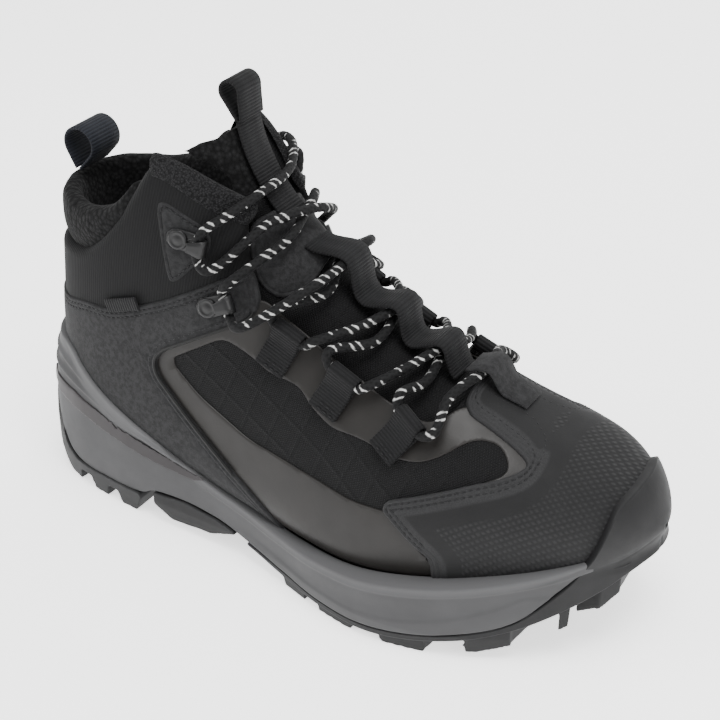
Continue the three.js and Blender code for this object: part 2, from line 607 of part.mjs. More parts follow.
const soleSplit = [[-20, 52], [1, 50], [6, 36], [17, 17], [24, 13], [66, 13], [74, 17], [92, 18.5],
  [110, 16.5], [128, 11.5], [150, 8.4], [175, 6.6], [205, 7.6], [235, 12.6], [258, 20.5], [270, 32],
    [279, 43]];
const bumperRear = [[285.5, 48], [284.5, 56], [286, 66], [288.5, 71], [340, 76]];
const insetTop = [[4, 53], [25, 52], [48, 47], [70, 42.5], [96, 38.5]];
const insetTip = [105, 36];
const insetLow = [[98, 33], [70, 35], [48, 38.5], [25, 43], [4, 45]];
const INSET_DEPTH = 2.5;
const SHANK = { length: 96, width: 16, thickness: 1.2, from: 58 };

function makeSole() {
  const loft = soleLoft(0);
  const cup = core(wrap);
  const block = loft.intersect(sidePrism([...soleSplit, ...[...rim].reverse()]));
  const grooveLine = [[3, 53.4], ...shifted(insetTop.slice(1), 0, 0.4), [106, 36],
    ...shifted(insetLow.slice(0, -1), 0, -0.4), [3, 44.6]];
  const groove = soleLoft(-5).subtract(soleLoft(INSET_DEPTH + GAP)).intersect(sidePrism(grooveLine));
  const strip = loft.subtract(soleLoft(INSET_DEPTH))
    .intersect(sidePrism([...insetTop, insetTip, ...insetLow]))
    .subtract(core(wrap + 1));
  const shank = new THREE.BoxGeometry(SHANK.length * gradeX, SHANK.width, SHANK.thickness);
  const shankTop = 22.6;
  shank.translate(gx(SHANK.from) + (SHANK.length * gradeX) / 2, gy(0), gz(shankTop) - SHANK.thickness / 2);
  const pocket = new THREE.BoxGeometry(SHANK.length * gradeX + 2 * GAP, SHANK.width + 2 * GAP,
    SHANK.thickness + 4);
  pocket.translate(gx(SHANK.from) + (SHANK.length * gradeX) / 2, gy(0),
    gz(shankTop) - SHANK.thickness - GAP + 2 + SHANK.thickness / 2);
  const midsole = block.subtract(cup).subtract(groove).subtract(toSolid(pocket));
  addSolid('midsole', midsole, FINISH.foam);
  const middle = gy(0);
  addSolid('heel_inset_lateral', strip.intersect(sidePrism(everywhere, -FAR, middle)), FINISH.inset);
  addSolid('heel_inset_medial', strip.intersect(sidePrism(everywhere, middle, FAR)), FINISH.inset);
  addPiece('shank', shank, FINISH.plastic);
}
makeSole();

// Underside of the rubber between the lugs, then the tread line that the lug faces lie on.
const rubberUnder = [[128, 9.6], [150, 5], [175, 3.2], [205, 4.2], [235, 9.2], [258, 17], [272, 26],
  [286, 38], [302, 50]];
const treadLine = [[128, 9.4], [146, 0], [225, 0], [246, 3.5], [262, 9.5], [276, 16.5], [286, 23], [306, 48]];
const lugRows = [[147, 161], [170, 189], [203, 222], [237, 253], [267, 283]];
const LUG_SKEW = 7; // how far a lug leans forward from its outer end to its inner end

function lug(front, back, outer, inner, skew) {
  return planPrism([[front, outer], [back, outer], [back + skew, inner], [front + skew, inner]], -1, gz(60));
}

function makeOutsole() {
  const loft = soleLoft(0);
  const under = shifted(soleSplit, 0, -GAP);
  const forefootTop = under.slice(9);
  const rubber = loft.subtract(core(wrap));
  const band = rubber.intersect(sidePrism([...rubberUnder, [285.5, 50],
    [283.8, 47.6], ...[...forefootTop].reverse()]));
  const rand = core(wrap + RAND_THICKNESS).subtract(core(wrap)).intersect(sidePrism([...bumperRear, [340, 44],
    [288, 44], [285.5, 46]]));
  const tread = rubber.intersect(sidePrism([...treadLine, [306, 60], [286, 40],
    ...[...shifted(rubberUnder.slice(0, 7), 0, 1)].reverse()]));
  const lugs = lugRows.flatMap(([from, to], row) => [
    lug(from, to, -80, -26, LUG_SKEW), lug(from, to, 80, 26, LUG_SKEW),
    lug(from + LUG_SKEW + 2, to + LUG_SKEW + 2, -16, 14, row % 2 ? 3 : -3)]);
  const field = lugs.reduce((sum, piece) => sum.add(piece));
  addSolid('outsole_forefoot', band.add(rand).add(tread.intersect(field)), FINISH.rubber);

  const heel = loft.intersect(sidePrism([...shifted(soleSplit.slice(0, 6), -0.3, -GAP),
    [66, 9], [62, 0], [16, 0], [6, 9], [-2, 22], [-20, 40]]));
  const grooves = [[26, 33], [45, 51]].map(([from, to]) =>
    sidePrism([[from - 2, -2], [to + 2, -2], [to, 7], [from, 7]]));
  const channel = planPrism([[18, -9], [64, -11], [64, 11], [18, 9]], -2, gz(6));
  const heelRubber = [...grooves, channel].reduce((sum, cut) => sum.subtract(cut), heel);
  addSolid('outsole_heel', heelRubber, FINISH.rubber);

  const pad = loft.intersect(sidePrism([...shifted(soleSplit.slice(6, 9), 0, -GAP),
    [122, 12.5], [106, 5.5], [84, 4], [74, 10]]));
  addSolid('outsole_pad_lateral', pad.intersect(planPrism([[60, -90], [140, -90], [140, -22], [60, -18]])),
    FINISH.rubber);
  addSolid('outsole_pad_medial', pad.intersect(planPrism([[60, 90], [140, 90], [140, 20], [60, 18]])),
    FINISH.rubber);
}
makeOutsole();

// ---------------------------------------------------------------- lace
// Chosen points that the lace runs through, from one end to the other, in the row's frame.
const LACE_ROUTE = [
  // one end hangs beside the ankle, medial side
  [-69, 49.8, 72], [-69, 49.6, 112], [-66.8, 49, 146], [-60, 48.2, 160], [-51.5, 47, 162.5],
  // upper hook
  [-48.5, 42.5, 155.2], [-49.5, 43.6, 143.7], [-44.4, 43.8, 140.1], [-27.6, 23, 158.4],
  [-21.8, 5, 156.6], [-19.3, -10.8, 152.9],
  // lower hook
  [-33.6, -34.5, 137.8], [-37.1, -34.8, 132.6], [-32.2, -36.1, 122.2], [-23.8, -42.3, 122.8],
  // loop 1
  [0.3, -16.6, 140.7], [2.9, 5, 142.4], [6.1, 22.9, 132.8], [-15, 36.6, 127.2], [-14.2, 37.9, 122.6],
  [0.8, 37.1, 116.2], [5.5, 36.1, 119.1],
  // loop 2
  [17.3, 22.7, 122.5], [24.9, 5, 122.5], [25.3, -13.1, 118.1], [11.6, -28, 115.9],
  [12.9, -29.5, 110.6], [28.1, -30.2, 104.5], [32.8, -28.9, 107.3],
  // loop 3
  [41.1, -15, 111], [50.1, 5, 116.1], [51.1, 24.2, 109.8], [46.9, 35.2, 107.3], [47.2, 37.3, 102.1],
  [61.2, 41.1, 94.4], [66.3, 40.5, 96.6],
  // straight across at the bottom
  [64.2, 28.3, 106.4], [70.2, 6.6, 110.6], [64.3, -18.6, 106.6],
  // loop 3
  [65.6, -33.7, 97.8], [60.5, -34.5, 95.4], [46.3, -29.2, 101.5], [45.7, -26.3, 106.3],
  [50.7, -13.9, 107.4], [48.1, 5, 111.3], [41.2, 22.8, 110.9],
  // loop 2
  [32.9, 35.5, 107.2], [28.2, 36.6, 104.3], [13.1, 36.4, 110.7], [11.9, 35.2, 116],
  [26.3, 23.3, 120.1], [27.4, 5, 127.1], [17.2, -14.2, 122.7],
  // loop 1
  [5.3, -28.6, 119.4], [0.6, -29.8, 116.4], [-14.5, -30, 122.6], [-15.3, -28.3, 127.1],
  [1, -11.7, 133.7], [-3.3, 5, 140.2], [-0.9, 26, 141.5],
  // lower hook
  [-23.7, 50.7, 122.3], [-32.2, 44.5, 121.9], [-37, 43.5, 132.4], [-33.5, 43.4, 137.6],
  // upper hook
  [-18, 21.5, 154.4], [-18.4, 5, 160.5], [-26.4, -14.5, 159.5], [-44.4, -35.6, 140.5],
  [-49.5, -35.1, 144], [-48.6, -33.4, 155.5],
  // across the tongue, and the other end hangs down
  [-41.2, -26.1, 162.9], [-34.1, -8.9, 169.5], [-35.3, 14.3, 171.4], [-46.6, 33.8, 173.7],
  [-58, 43, 170.5], [-69.5, 48.2, 160], [-76.5, 49.5, 142], [-78, 49.6, 105], [-77, 49.6, 64],
];
const AGLET_LENGTH = 16;
const AGLET_RADIUS = 1.7;

// A spline whose even steps fall on its chosen points.
class LaceCurve extends THREE.CatmullRomCurve3 {
  getPointAt(share, target) {
    return this.getPoint(share, target);
  }

  getTangentAt(share, target) {
    return this.getTangent(share, target);
  }
}

function makeLace() {
  const points = LACE_ROUTE.map(([x, y, z]) => new THREE.Vector3(x * gradeX, y * gradeY, z * gradeZ));
  const section = new THREE.Shape();
  section.absarc(0, 0, LACE_DIAMETER / 2, 0, 2 * Math.PI, false);
  const lace = new THREE.ExtrudeGeometry(section, {
    curveSegments: 4,
    steps: points.length - 1,
    bevelEnabled: false,
    extrudePath: new LaceCurve(points),
  });
  addPiece('lace', lace, FINISH.lace);
  [points[0], points.at(-1)].forEach((end, k) => {
    const aglet = new THREE.CylinderGeometry(AGLET_RADIUS, AGLET_RADIUS - 0.2, AGLET_LENGTH, 12);
    aglet.rotateX(Math.PI / 2);
    aglet.translate(end.x, end.y, end.z - GAP - AGLET_LENGTH / 2);
    addPiece(`aglet_${k + 1}`, aglet, FINISH.plastic);
  });
}
makeLace();

export default boot;
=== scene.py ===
# %% [markdown]
# A mid-height hiking boot for the right foot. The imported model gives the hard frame: where the sole stands,
# where the hooks are riveted and where the pull loops bend. This lesson builds the looks round it: brushed
# leather panels, woven mesh, a braided lace, a moulded sole and a soft collar, all in one shared frame in
# metres.

# %% Load the frame
import math
import bpy
import bmesh
import numpy as np
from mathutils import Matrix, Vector
from mathutils.bvhtree import BVHTree
from mathutils.kdtree import KDTree


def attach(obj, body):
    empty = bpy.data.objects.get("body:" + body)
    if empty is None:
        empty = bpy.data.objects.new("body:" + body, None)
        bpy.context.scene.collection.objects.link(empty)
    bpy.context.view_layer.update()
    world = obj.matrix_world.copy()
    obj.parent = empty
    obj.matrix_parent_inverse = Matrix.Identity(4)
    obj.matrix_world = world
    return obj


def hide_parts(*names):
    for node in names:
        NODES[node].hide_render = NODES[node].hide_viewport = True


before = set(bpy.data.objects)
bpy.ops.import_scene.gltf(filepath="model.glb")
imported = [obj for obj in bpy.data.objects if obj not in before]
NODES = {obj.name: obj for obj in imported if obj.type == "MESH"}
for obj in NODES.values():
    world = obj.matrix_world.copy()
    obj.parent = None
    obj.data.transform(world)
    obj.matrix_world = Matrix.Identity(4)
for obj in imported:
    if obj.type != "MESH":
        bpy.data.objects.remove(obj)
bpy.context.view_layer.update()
MM = 0.001
print("nodes", len(NODES))

# %% [markdown]
# The camera comes first. It looks down at the boot's outer side from ahead, through a long lens that keeps
# the shapes from spreading.

# %% Camera
CAMERA_PLACE = Vector((0.3240, -0.5494, 0.4802))
CAMERA_AIM = Vector((0.13259, -0.21339, 0.24624))
CAMERA_ROLL = math.radians(2.01)
lens = bpy.data.cameras.new("camera")
lens.lens = 85
lens.sensor_width = 36
lens.clip_end = 20
camera = bpy.data.objects.new("camera", lens)
camera.location = CAMERA_PLACE
turn = (CAMERA_AIM - CAMERA_PLACE).to_track_quat("-Z", "Y")
camera.rotation_euler = turn.to_euler()
camera.rotation_euler.rotate_axis("Z", CAMERA_ROLL)
bpy.context.scene.collection.objects.link(camera)
bpy.context.scene.camera = camera

# %% [markdown]
# Every soft piece follows one last, the foot-shaped form that a boot is made over. It is a stack of
# slanting slices from the collar down to the toe. Each slice is an egg-like ring with a front point, a back
# point and a half width to each side, and smooth curves join the slices.

# %% The last
MIDDLE_X = 149
MIDDLE_Y = -5
# front x and z, back x and z, outer and inner half width, widest place, front and back squareness, and the
# sideways shifts of the front and the back
SLICES = np.array([
    [97, 212, 5, 205, 35, 35, 0.52, 2.3, 2.3, 0, 0],
    [104, 186, 6, 166, 37, 37, 0.52, 2.3, 2.3, 0, 0],
    [114, 169, 7, 138, 38.5, 38, 0.5, 2.2, 2.4, 0, 0],
    [126, 156.5, 8, 112, 39, 37.5, 0.5, 2.1, 2.5, 0, 0],
    [139, 146.5, 6, 88, 38.5, 37, 0.48, 2, 2.6, 0, 0],
    [152, 137, 6, 64, 39.5, 37.5, 0.47, 2, 2.6, 0, 0],
    [165, 129, 11, 40, 41.5, 38, 0.5, 2, 2.7, 0, 0],
    [176, 122.5, 27, 29, 43, 38.5, 0.52, 2, 2.8, 0, 0],
    [187, 117, 56, 27.5, 44, 39, 0.56, 2, 3, 0, 0],
    [198, 112, 88, 26, 45, 39.5, 0.6, 2, 3.2, 0, 0],
    [209, 108, 120, 24, 47.5, 41, 0.64, 2.1, 3.5, 1, 0],
    [221, 103.5, 152, 22.5, 52, 42.5, 0.68, 2.2, 3.8, 2, -1],
    [234, 98, 183, 22.5, 56, 44, 0.7, 2.2, 4, 4, 0],
    [247, 92.5, 212, 24.5, 54.5, 43, 0.68, 2.3, 4, 6, 3],
    [260, 87.5, 238, 29, 48, 40, 0.66, 2.4, 3.8, 8, 6],
    [272, 82, 259, 34, 41, 35, 0.64, 2.5, 3.4, 10, 9],
    [282, 75, 275, 39, 32, 29, 0.62, 2.5, 3, 11, 11],
    [289, 67, 286, 44, 21, 20, 0.6, 2.4, 2.6, 12, 12],
    [293.5, 59, 292.5, 49.5, 10, 10, 0.55, 2.2, 2.2, 13, 13],
    [295.5, 54, 295.5, 54, 0, 0, 0.5, 2, 2, 13, 13],
], dtype=float)
LAST_SLICE = len(SLICES) - 1
LAST_ROW = LAST_SLICE - 0.06  # nets stop just short of the toe, where the slices close to a point
NUDGE = 0.03


def hermite(p1, m1, p2, m2, t):
    """The point at share t of a smooth step from p1 to p2, with slopes m1 and m2 at its ends."""
    t2, t3 = t * t, t * t * t
    return (2 * t3 - 3 * t2 + 1) * p1 + (t3 - 2 * t2 + t) * m1 + (3 * t2 - 2 * t3) * p2 + (t3 - t2) * m2


def slice_at(s):
    """The slice at each place s, read between the listed ones."""
    i = np.minimum(s.astype(int), LAST_SLICE - 1)
    t = (s - i)[:, None]
    p0, p1, p2, p3 = (SLICES[np.clip(i + k, 0, LAST_SLICE)] for k in (-1, 0, 1, 2))
    return hermite(p1, (p2 - p0) / 2, p2, (p3 - p1) / 2, t)


def on_last(s, around):
    """Points on the last, in millimetres; around is 0 on the ridge and pi under the outer side."""
    s, around = np.broadcast_arrays(np.asarray(s, float), np.asarray(around, float))
    fx, fz, bx, bz, outer, inner, widest, square_f, square_b, fy, by = slice_at(s.ravel()).T
    a = around.ravel()
    c = np.cos(a)
    power = 2 / np.where(c >= 0, square_f, square_b)
    reach = np.abs(c) ** power
    width = np.abs(np.sin(a)) ** power
    d = np.where(c >= 0, widest * (1 - reach), widest + (1 - widest) * reach)
    y = fy + (by - fy) * d + np.where(a > 0, -outer, inner) * width
    return np.stack([fx + (bx - fx) * d - MIDDLE_X, y - MIDDLE_Y, fz + (bz - fz) * d], axis=1)


def last_normal(s, around):
    """The outward direction at places on the last."""
    s, around = (v.ravel() for v in np.broadcast_arrays(np.asarray(s, float), np.asarray(around, float)))
    ahead = on_last(np.minimum(s + NUDGE, LAST_SLICE), around) - on_last(np.maximum(s - NUDGE, 0), around)
    side = on_last(s, around + NUDGE) - on_last(s, around - NUDGE)
    n = np.cross(side, ahead)
    n[:, 0] += 1e-6  # a ring of no size still gets a direction
    return n / np.linalg.norm(n, axis=1)[:, None]


def off_last(s, around, lift):
    """Points lifted off the last by so many millimetres."""
    return on_last(s, around) + last_normal(s, around) * np.reshape(lift, (-1, 1))


print("last length", round(float(on_last(LAST_SLICE, 0)[0, 0] - on_last(6, math.pi)[0, 0])), "mm")

# %% [markdown]
# Everything that is sewn from flat stock is made by one maker. It lays a fine net over the last, cuts the
# net along an outline drawn in the side view, and lifts each point by a height that depends on how far it
# is from the cut edge. That gives rounded edges, stitched grooves and piping in real geometry. The distance
# to the edge is kept on the mesh as an attribute, so that the materials can darken or wear an edge.

# %% Outlines and distances
ROUND_STEPS = 5
CORNER_SHARE = 0.48  # a rounded corner takes at most this share of each side
STEEPEST = 0.12
FAR = 1e9


def rounded(points, radius):
    """The closed outline with each corner replaced by a small curve."""
    pts = [np.array(p, float) for p in points]
    out = []
    for k, p in enumerate(pts):
        before, after = pts[k - 1] - p, pts[(k + 1) % len(pts)] - p
        lb, la = np.linalg.norm(before), np.linalg.norm(after)
        a = p + before / lb * min(radius, lb * CORNER_SHARE)
        b = p + after / la * min(radius, la * CORNER_SHARE)
        for t in np.linspace(0, 1, ROUND_STEPS):
            out.append((1 - t) ** 2 * a + 2 * t * (1 - t) * p + t * t * b)
    return np.array(out)


def edge_distance(xz, outline):
    """Signed distance to the outline in the side view (positive inside), and the direction it grows in."""
    a = outline
    b = np.roll(outline, -1, axis=0)
    best = np.full(len(xz), FAR)
    grow = np.zeros((len(xz), 2))
    inside = np.zeros(len(xz), bool)
    for p, q in zip(a, b):
        e = q - p
        length2 = max(float(e @ e), 1e-9)
        t = np.clip(((xz - p) @ e) / length2, 0, 1)
        away = xz - p - t[:, None] * e
        d = np.hypot(away[:, 0], away[:, 1])
        near = d < best
        best[near] = d[near]
        grow[near] = away[near] / np.maximum(d[near], 1e-9)[:, None]
        crosses = (p[1] > xz[:, 1]) != (q[1] > xz[:, 1])
        if crosses.any() and abs(e[1]) > 1e-12:
            at = p[0] + (xz[:, 1] - p[1]) / e[1] * e[0]
            inside ^= crosses & (xz[:, 0] < at)
    return np.where(inside, best, -best), grow


def surface_distance(s, around, outline, holes=()):
    """Distance to the cut edge measured along the last's surface."""
    at = on_last(s, around)
    xz = np.stack([at[:, 0] + MIDDLE_X, at[:, 2]], axis=1)
    n = last_normal(s, around)[:, [0, 2]]

    def measured(line):
        d, grow = edge_distance(xz, line)
        return d / np.sqrt(np.maximum(1 - np.sum(grow * n, axis=1) ** 2, STEEPEST))

    d = measured(outline)
    for hole in holes:
        d = np.minimum(d, -measured(hole))
    return d


print("a square with rounded corners has", len(rounded([(0, 0), (9, 0), (9, 9), (0, 9)], 2)), "points")


# %% The net and its cutter
NET_S = 0.085
NET_AROUND = 2 * math.pi / 190
NET_MARGIN = 3  # how far past the outline the net is kept before it is cut
SIDES = {"lateral": (0, math.pi), "medial": (-math.pi, 0), "both": (-math.pi, math.pi)}
SIDE_SIGN = {"lateral": 1, "medial": -1}


def grid_faces(rows, columns, closed=False):
    """Four-sided faces over points laid in rows; closed joins the end of each row to its start."""
    across = columns if closed else columns - 1
    k = np.arange((rows - 1) * across)
    r, c = k // across, k % across
    d = (c + 1) % columns
    return np.stack([r * columns + c, r * columns + d, (r + 1) * columns + d, (r + 1) * columns + c], axis=1)


def tube_faces(rings, sides):
    """The faces of a tube of rings, with a cap on each end."""
    caps = [list(range(sides))[::-1], [(rings - 1) * sides + c for c in range(sides)]]
    return grid_faces(rings, sides, True).tolist() + caps


def split_at(params, faces, value, level, measure):
    """Cuts every face that the level passes through, so that the level becomes a line of edges."""
    f = value - level
    f = np.where(np.abs(f) < 1e-4, 1e-4, f)
    above = f > 0
    n_above = above[faces].sum(axis=1)
    keep = faces[(n_above == 0) | (n_above == 3)]
    cut = faces[(n_above == 1) | (n_above == 2)]
    made, new_params, new_faces = {}, [], []

    def middle(i, j):
        key = (min(i, j), max(i, j))
        if key not in made:
            t = f[key[0]] / (f[key[0]] - f[key[1]])
            made[key] = len(params) + len(new_params)
            new_params.append(params[key[0]] + (params[key[1]] - params[key[0]]) * t)
        return made[key]

    for tri in cut:
        up = above[tri]
        lone = int(np.argmax(up)) if up.sum() == 1 else int(np.argmin(up))
        a, b, c = tri[lone], tri[(lone + 1) % 3], tri[(lone + 2) % 3]
        ab, ac = middle(a, b), middle(a, c)
        new_faces += [(a, ab, ac), (ab, b, c), (ab, c, ac)]
    if not new_params:
        return params, faces, value
    new_params = np.array(new_params)
    params = np.vstack([params, new_params])
    value = np.concatenate([value, measure(new_params)])
    value[len(params) - len(new_params):] = level
    return params, np.vstack([keep, np.array(new_faces, int)]), value


def linked(obj):
    """The object, linked to the scene."""
    bpy.context.scene.collection.objects.link(obj)
    return obj


def shade(mesh):
    """Smooth shading on every face."""
    mesh.polygons.foreach_set("use_smooth", [True] * len(mesh.polygons))
    mesh.update()


def link(name, verts_mm, faces, material):
    """A smooth object from points in millimetres."""
    mesh = bpy.data.meshes.new(name)
    mesh.from_pydata((np.asarray(verts_mm) * MM).tolist(), [], [tuple(int(i) for i in f) for f in faces])
    shade(mesh)
    mesh.materials.append(material)
    return linked(bpy.data.objects.new(name, mesh))


def keep_values(obj, name, values):
    """Keeps one value for each point, for the materials to read."""
    layer = obj.data.attributes.new(name, "FLOAT", "POINT")
    layer.data.foreach_set("value", np.asarray(values, np.float32))


def panel(name, outline, side, height, material, levels=(), holes=()):
    """A sewn panel; height gives the lift in millimetres from the distance to the cut edge."""
    low, high = SIDES[side]
    ring = np.linspace(low, high, int(round((high - low) / NET_AROUND)) + 1)
    rows = np.minimum(np.arange(0, LAST_ROW + NET_S, NET_S), LAST_ROW)
    s, a = (v.ravel() for v in np.meshgrid(rows, ring, indexing="ij"))
    params = np.stack([s, a], axis=1)

    def measure(p):
        return surface_distance(p[:, 0], p[:, 1], outline, holes)

    value = measure(params)
    q = grid_faces(len(rows), len(ring))
    q = q[value[q].max(axis=1) > -NET_MARGIN]
    faces = np.vstack([q[:, [0, 1, 2]], q[:, [0, 2, 3]]])
    for level in (0, *levels):
        params, faces, value = split_at(params, faces, value, level, measure)
        if level == 0:
            faces = faces[(value[faces] > -1e-3).all(axis=1)]
    used = np.unique(faces)
    back = np.full(len(params), -1)
    back[used] = np.arange(len(used))
    params, value, faces = params[used], np.maximum(value[used], 0), back[faces]
    verts = off_last(params[:, 0], params[:, 1], height(value))
    obj = link(name, verts, faces, material)
    bm = bmesh.new()
    bm.from_mesh(obj.data)
    layer = bm.verts.layers.float.new("edge")
    for v, d in zip(bm.verts, value):
        v[layer] = d
    bmesh.ops.remove_doubles(bm, verts=bm.verts, dist=2e-6)
    bmesh.ops.dissolve_degenerate(bm, edges=bm.edges, dist=1e-6)
    bm.to_mesh(obj.data)
    bm.free()
    shade(obj.data)
    return obj


def folded(low, high, radius):
    """Height of a panel whose cut edge is rounded over."""
    return lambda d: low + (high - low) * np.sqrt(1 - (1 - np.minimum(d / radius, 1)) ** 2)


ROW_DEPTH = 0.28
ROW_WIDTH = 0.45


def with_rows(height, rows):
    """The same height, pressed down along stitched rows."""
    def pressed(d):
        return height(d) - sum(ROW_DEPTH * np.exp(-((d - row) / ROW_WIDTH) ** 2) for row in rows)
    return pressed


EDGE_LEVELS = (0.12, 0.4, 0.9)


def stitched_panel(name, outline, side, lifts, radius, rows, material, levels=()):
    """A panel with a rounded cut edge and a groove for each stitched row."""
    grooves = tuple(row + share * ROW_WIDTH for row in rows for share in (-1.6, -0.7, 0, 0.7, 1.6))
    height = with_rows(folded(*lifts, radius), rows)
    return panel(name, outline, side, height, material, EDGE_LEVELS + grooves + levels)


print("panel maker ready")

# %% [markdown]
# Finishes are small node networks. Each one starts from a base colour, varies it with noise, and adds
# relief through bump nodes: a tight grain for brushed leather, crossed waves for a weave, ribs for webbing.
# Values that are the same all over a piece sit on the shader itself.

# %% Shader helper
def scaled(color, share):
    """The same colour, darker or paler."""
    return tuple(c * share for c in color)


class Finish:
    """One procedural material, built up step by step."""

    def __init__(self, name, roughness, specular=0.3, metallic=0.0, sheen=0.0, sheen_roughness=0.5, coat=0.0):
        self.material = bpy.data.materials.new(name)
        self.material.use_nodes = True
        tree = self.material.node_tree
        self.nodes, self.links = tree.nodes, tree.links
        self.shader = self.nodes["Principled BSDF"]
        self.set(self.shader, {"Roughness": roughness, "Specular IOR Level": specular, "Metallic": metallic,
                               "Sheen Weight": sheen, "Sheen Roughness": sheen_roughness, "Coat Weight": coat,
                               "Coat Roughness": 0.25})
        self.place = self.nodes.new("ShaderNodeTexCoord").outputs["Object"]
        self.relief = None

    @staticmethod
    def set(node, values):
        for key, value in values.items():
            node.inputs[key].default_value = value

    def leaning(self, degrees, twist=0):
        """The object's own place, turned about Y and then about Z."""
        node = self.nodes.new("ShaderNodeMapping")
        self.set(node, {"Rotation": (0, math.radians(degrees), math.radians(twist))})
        self.links.new(self.place, node.inputs["Vector"])
        return node.outputs["Vector"]

    def noise(self, size_mm, detail=2.0):
        node = self.nodes.new("ShaderNodeTexNoise")
        self.set(node, {"Scale": 1 / (size_mm * MM), "Detail": detail})
        self.links.new(self.place, node.inputs["Vector"])
        return node.outputs["Fac"]

    def cells(self, size_mm):
        node = self.nodes.new("ShaderNodeTexVoronoi")
        self.set(node, {"Scale": 1 / (size_mm * MM)})
        self.links.new(self.place, node.inputs["Vector"])
        return node.outputs["Distance"]

    def waves(self, pitch_mm, axis, place, distortion=0.0):
        node = self.nodes.new("ShaderNodeTexWave")
        node.bands_direction = axis
        # a wave texture's bands lie 2 pi / 20 apart at scale 1
        self.set(node, {"Scale": math.pi / 10 / (pitch_mm * MM), "Distortion": distortion, "Detail": 0})
        self.links.new(place, node.inputs["Vector"])
        return node.outputs["Fac"]

    def attribute(self, name):
        node = self.nodes.new("ShaderNodeAttribute")
        node.attribute_name = name
        return node.outputs["Fac"]

    def math(self, operation, a, b=0.0, clamp=False):
        node = self.nodes.new("ShaderNodeMath")
        node.operation = operation
        node.use_clamp = clamp
        for socket, value in zip(node.inputs, (a, b)):
            if isinstance(value, (int, float)):
                socket.default_value = value
            else:
                self.links.new(value, socket)
        return node.outputs[0]

    def shades(self, value, color, *stops):
        """The colour, made darker or paler as the value runs from the first stop to the second."""
        node = self.nodes.new("ShaderNodeValToRGB")
        for element, (at, share) in zip(node.color_ramp.elements, stops):
            element.position = at
            element.color = (*scaled(color, share), 1)
        self.links.new(value, node.inputs["Fac"])
        return node.outputs["Color"]

    def mix(self, share, a, b):
        node = self.nodes.new("ShaderNodeMix")
        node.data_type = "RGBA"
        for socket, value in ((node.inputs[0], share), (node.inputs[6], a), (node.inputs[7], b)):
            if isinstance(value, (int, float)):
                socket.default_value = value
            elif isinstance(value, tuple):
                socket.default_value = (*value, 1)
            else:
                self.links.new(value, socket)
        return node.outputs[2]

    def color(self, value):
        if isinstance(value, tuple):
            self.shader.inputs["Base Color"].default_value = (*value, 1)
        else:
            self.links.new(value, self.shader.inputs["Base Color"])
        return self

    def rough(self, value, low, high):
        node = self.nodes.new("ShaderNodeMapRange")
        self.set(node, {"To Min": low, "To Max": high})
        self.links.new(value, node.inputs["Value"])
        self.links.new(node.outputs["Result"], self.shader.inputs["Roughness"])
        return self

    def bump(self, height, depth_mm, strength=1.0):
        node = self.nodes.new("ShaderNodeBump")
        self.set(node, {"Strength": strength, "Distance": depth_mm * MM})
        self.links.new(height, node.inputs["Height"])
        if self.relief:
            self.links.new(self.relief, node.inputs["Normal"])
        self.relief = node.outputs["Normal"]
        self.links.new(self.relief, self.shader.inputs["Normal"])
        return self


# %% Leather, mesh and film
def brushed(f, color):
    """The clouds and the fine nap of brushed leather, and the colour they give."""
    cloud = f.noise(9, 4)
    fine = f.noise(0.55, 3)
    tone = f.shades(cloud, color, (0.3, 0.82), (0.7, 1.18))
    return cloud, fine, f.mix(0.5, tone, f.shades(fine, color, (0.35, 0.6), (0.65, 1.5)))


def nubuck_finish(name, color):
    """Brushed leather: a soft nap with a fine pebble, darker where it was cut."""
    f = Finish(name, 0.85, specular=0.12, sheen=0.05, sheen_roughness=0.45)
    cloud, fine, base = brushed(f, color)
    base = f.mix(0.4, base, f.shades(f.noise(2.2, 4), color, (0.38, 0.45), (0.62, 1.7)))
    cut = f.math("SUBTRACT", 1, f.math("DIVIDE", f.attribute("edge"), 0.9, clamp=True), clamp=True)
    f.color(f.mix(f.math("MULTIPLY", cut, 0.45), base, scaled(color, 0.35)))
    f.rough(cloud, 0.78, 0.95)
    f.bump(f.cells(0.9), 0.042, 0.8)
    f.bump(fine, 0.0875, 0.9)
    return f.material


TOE_BORDER = 6.5
GRAIN_START = 13
GRAIN_PITCH = 2.1


def toe_finish(name, color):
    """Brushed leather at the stitched border, then a dark coated field with a raised diamond grain."""
    f = Finish(name, 0.7, specular=0.16, sheen=0.03)
    cloud, fine, nap = brushed(f, color)
    inside = f.math("SUBTRACT", f.attribute("edge"), TOE_BORDER, clamp=True)
    grain = f.math("MULTIPLY", f.waves(GRAIN_PITCH, "X", f.leaning(45, -30)),
                   f.waves(GRAIN_PITCH, "X", f.leaning(-45, 30)))
    deep = f.math("MULTIPLY", inside, f.math("SUBTRACT", f.attribute("edge"), GRAIN_START, clamp=True))
    diamonds = f.math("MULTIPLY", grain, deep)
    f.color(f.mix(inside, nap, f.mix(diamonds, scaled(color, 0.52), scaled(color, 1.05))))
    f.rough(cloud, 0.62, 0.8)
    f.bump(diamonds, 0.35, 0.9)
    f.bump(fine, 0.08, 0.9)
    return f.material


WEAVE_PITCH = 0.85
QUILT_PITCH = 13


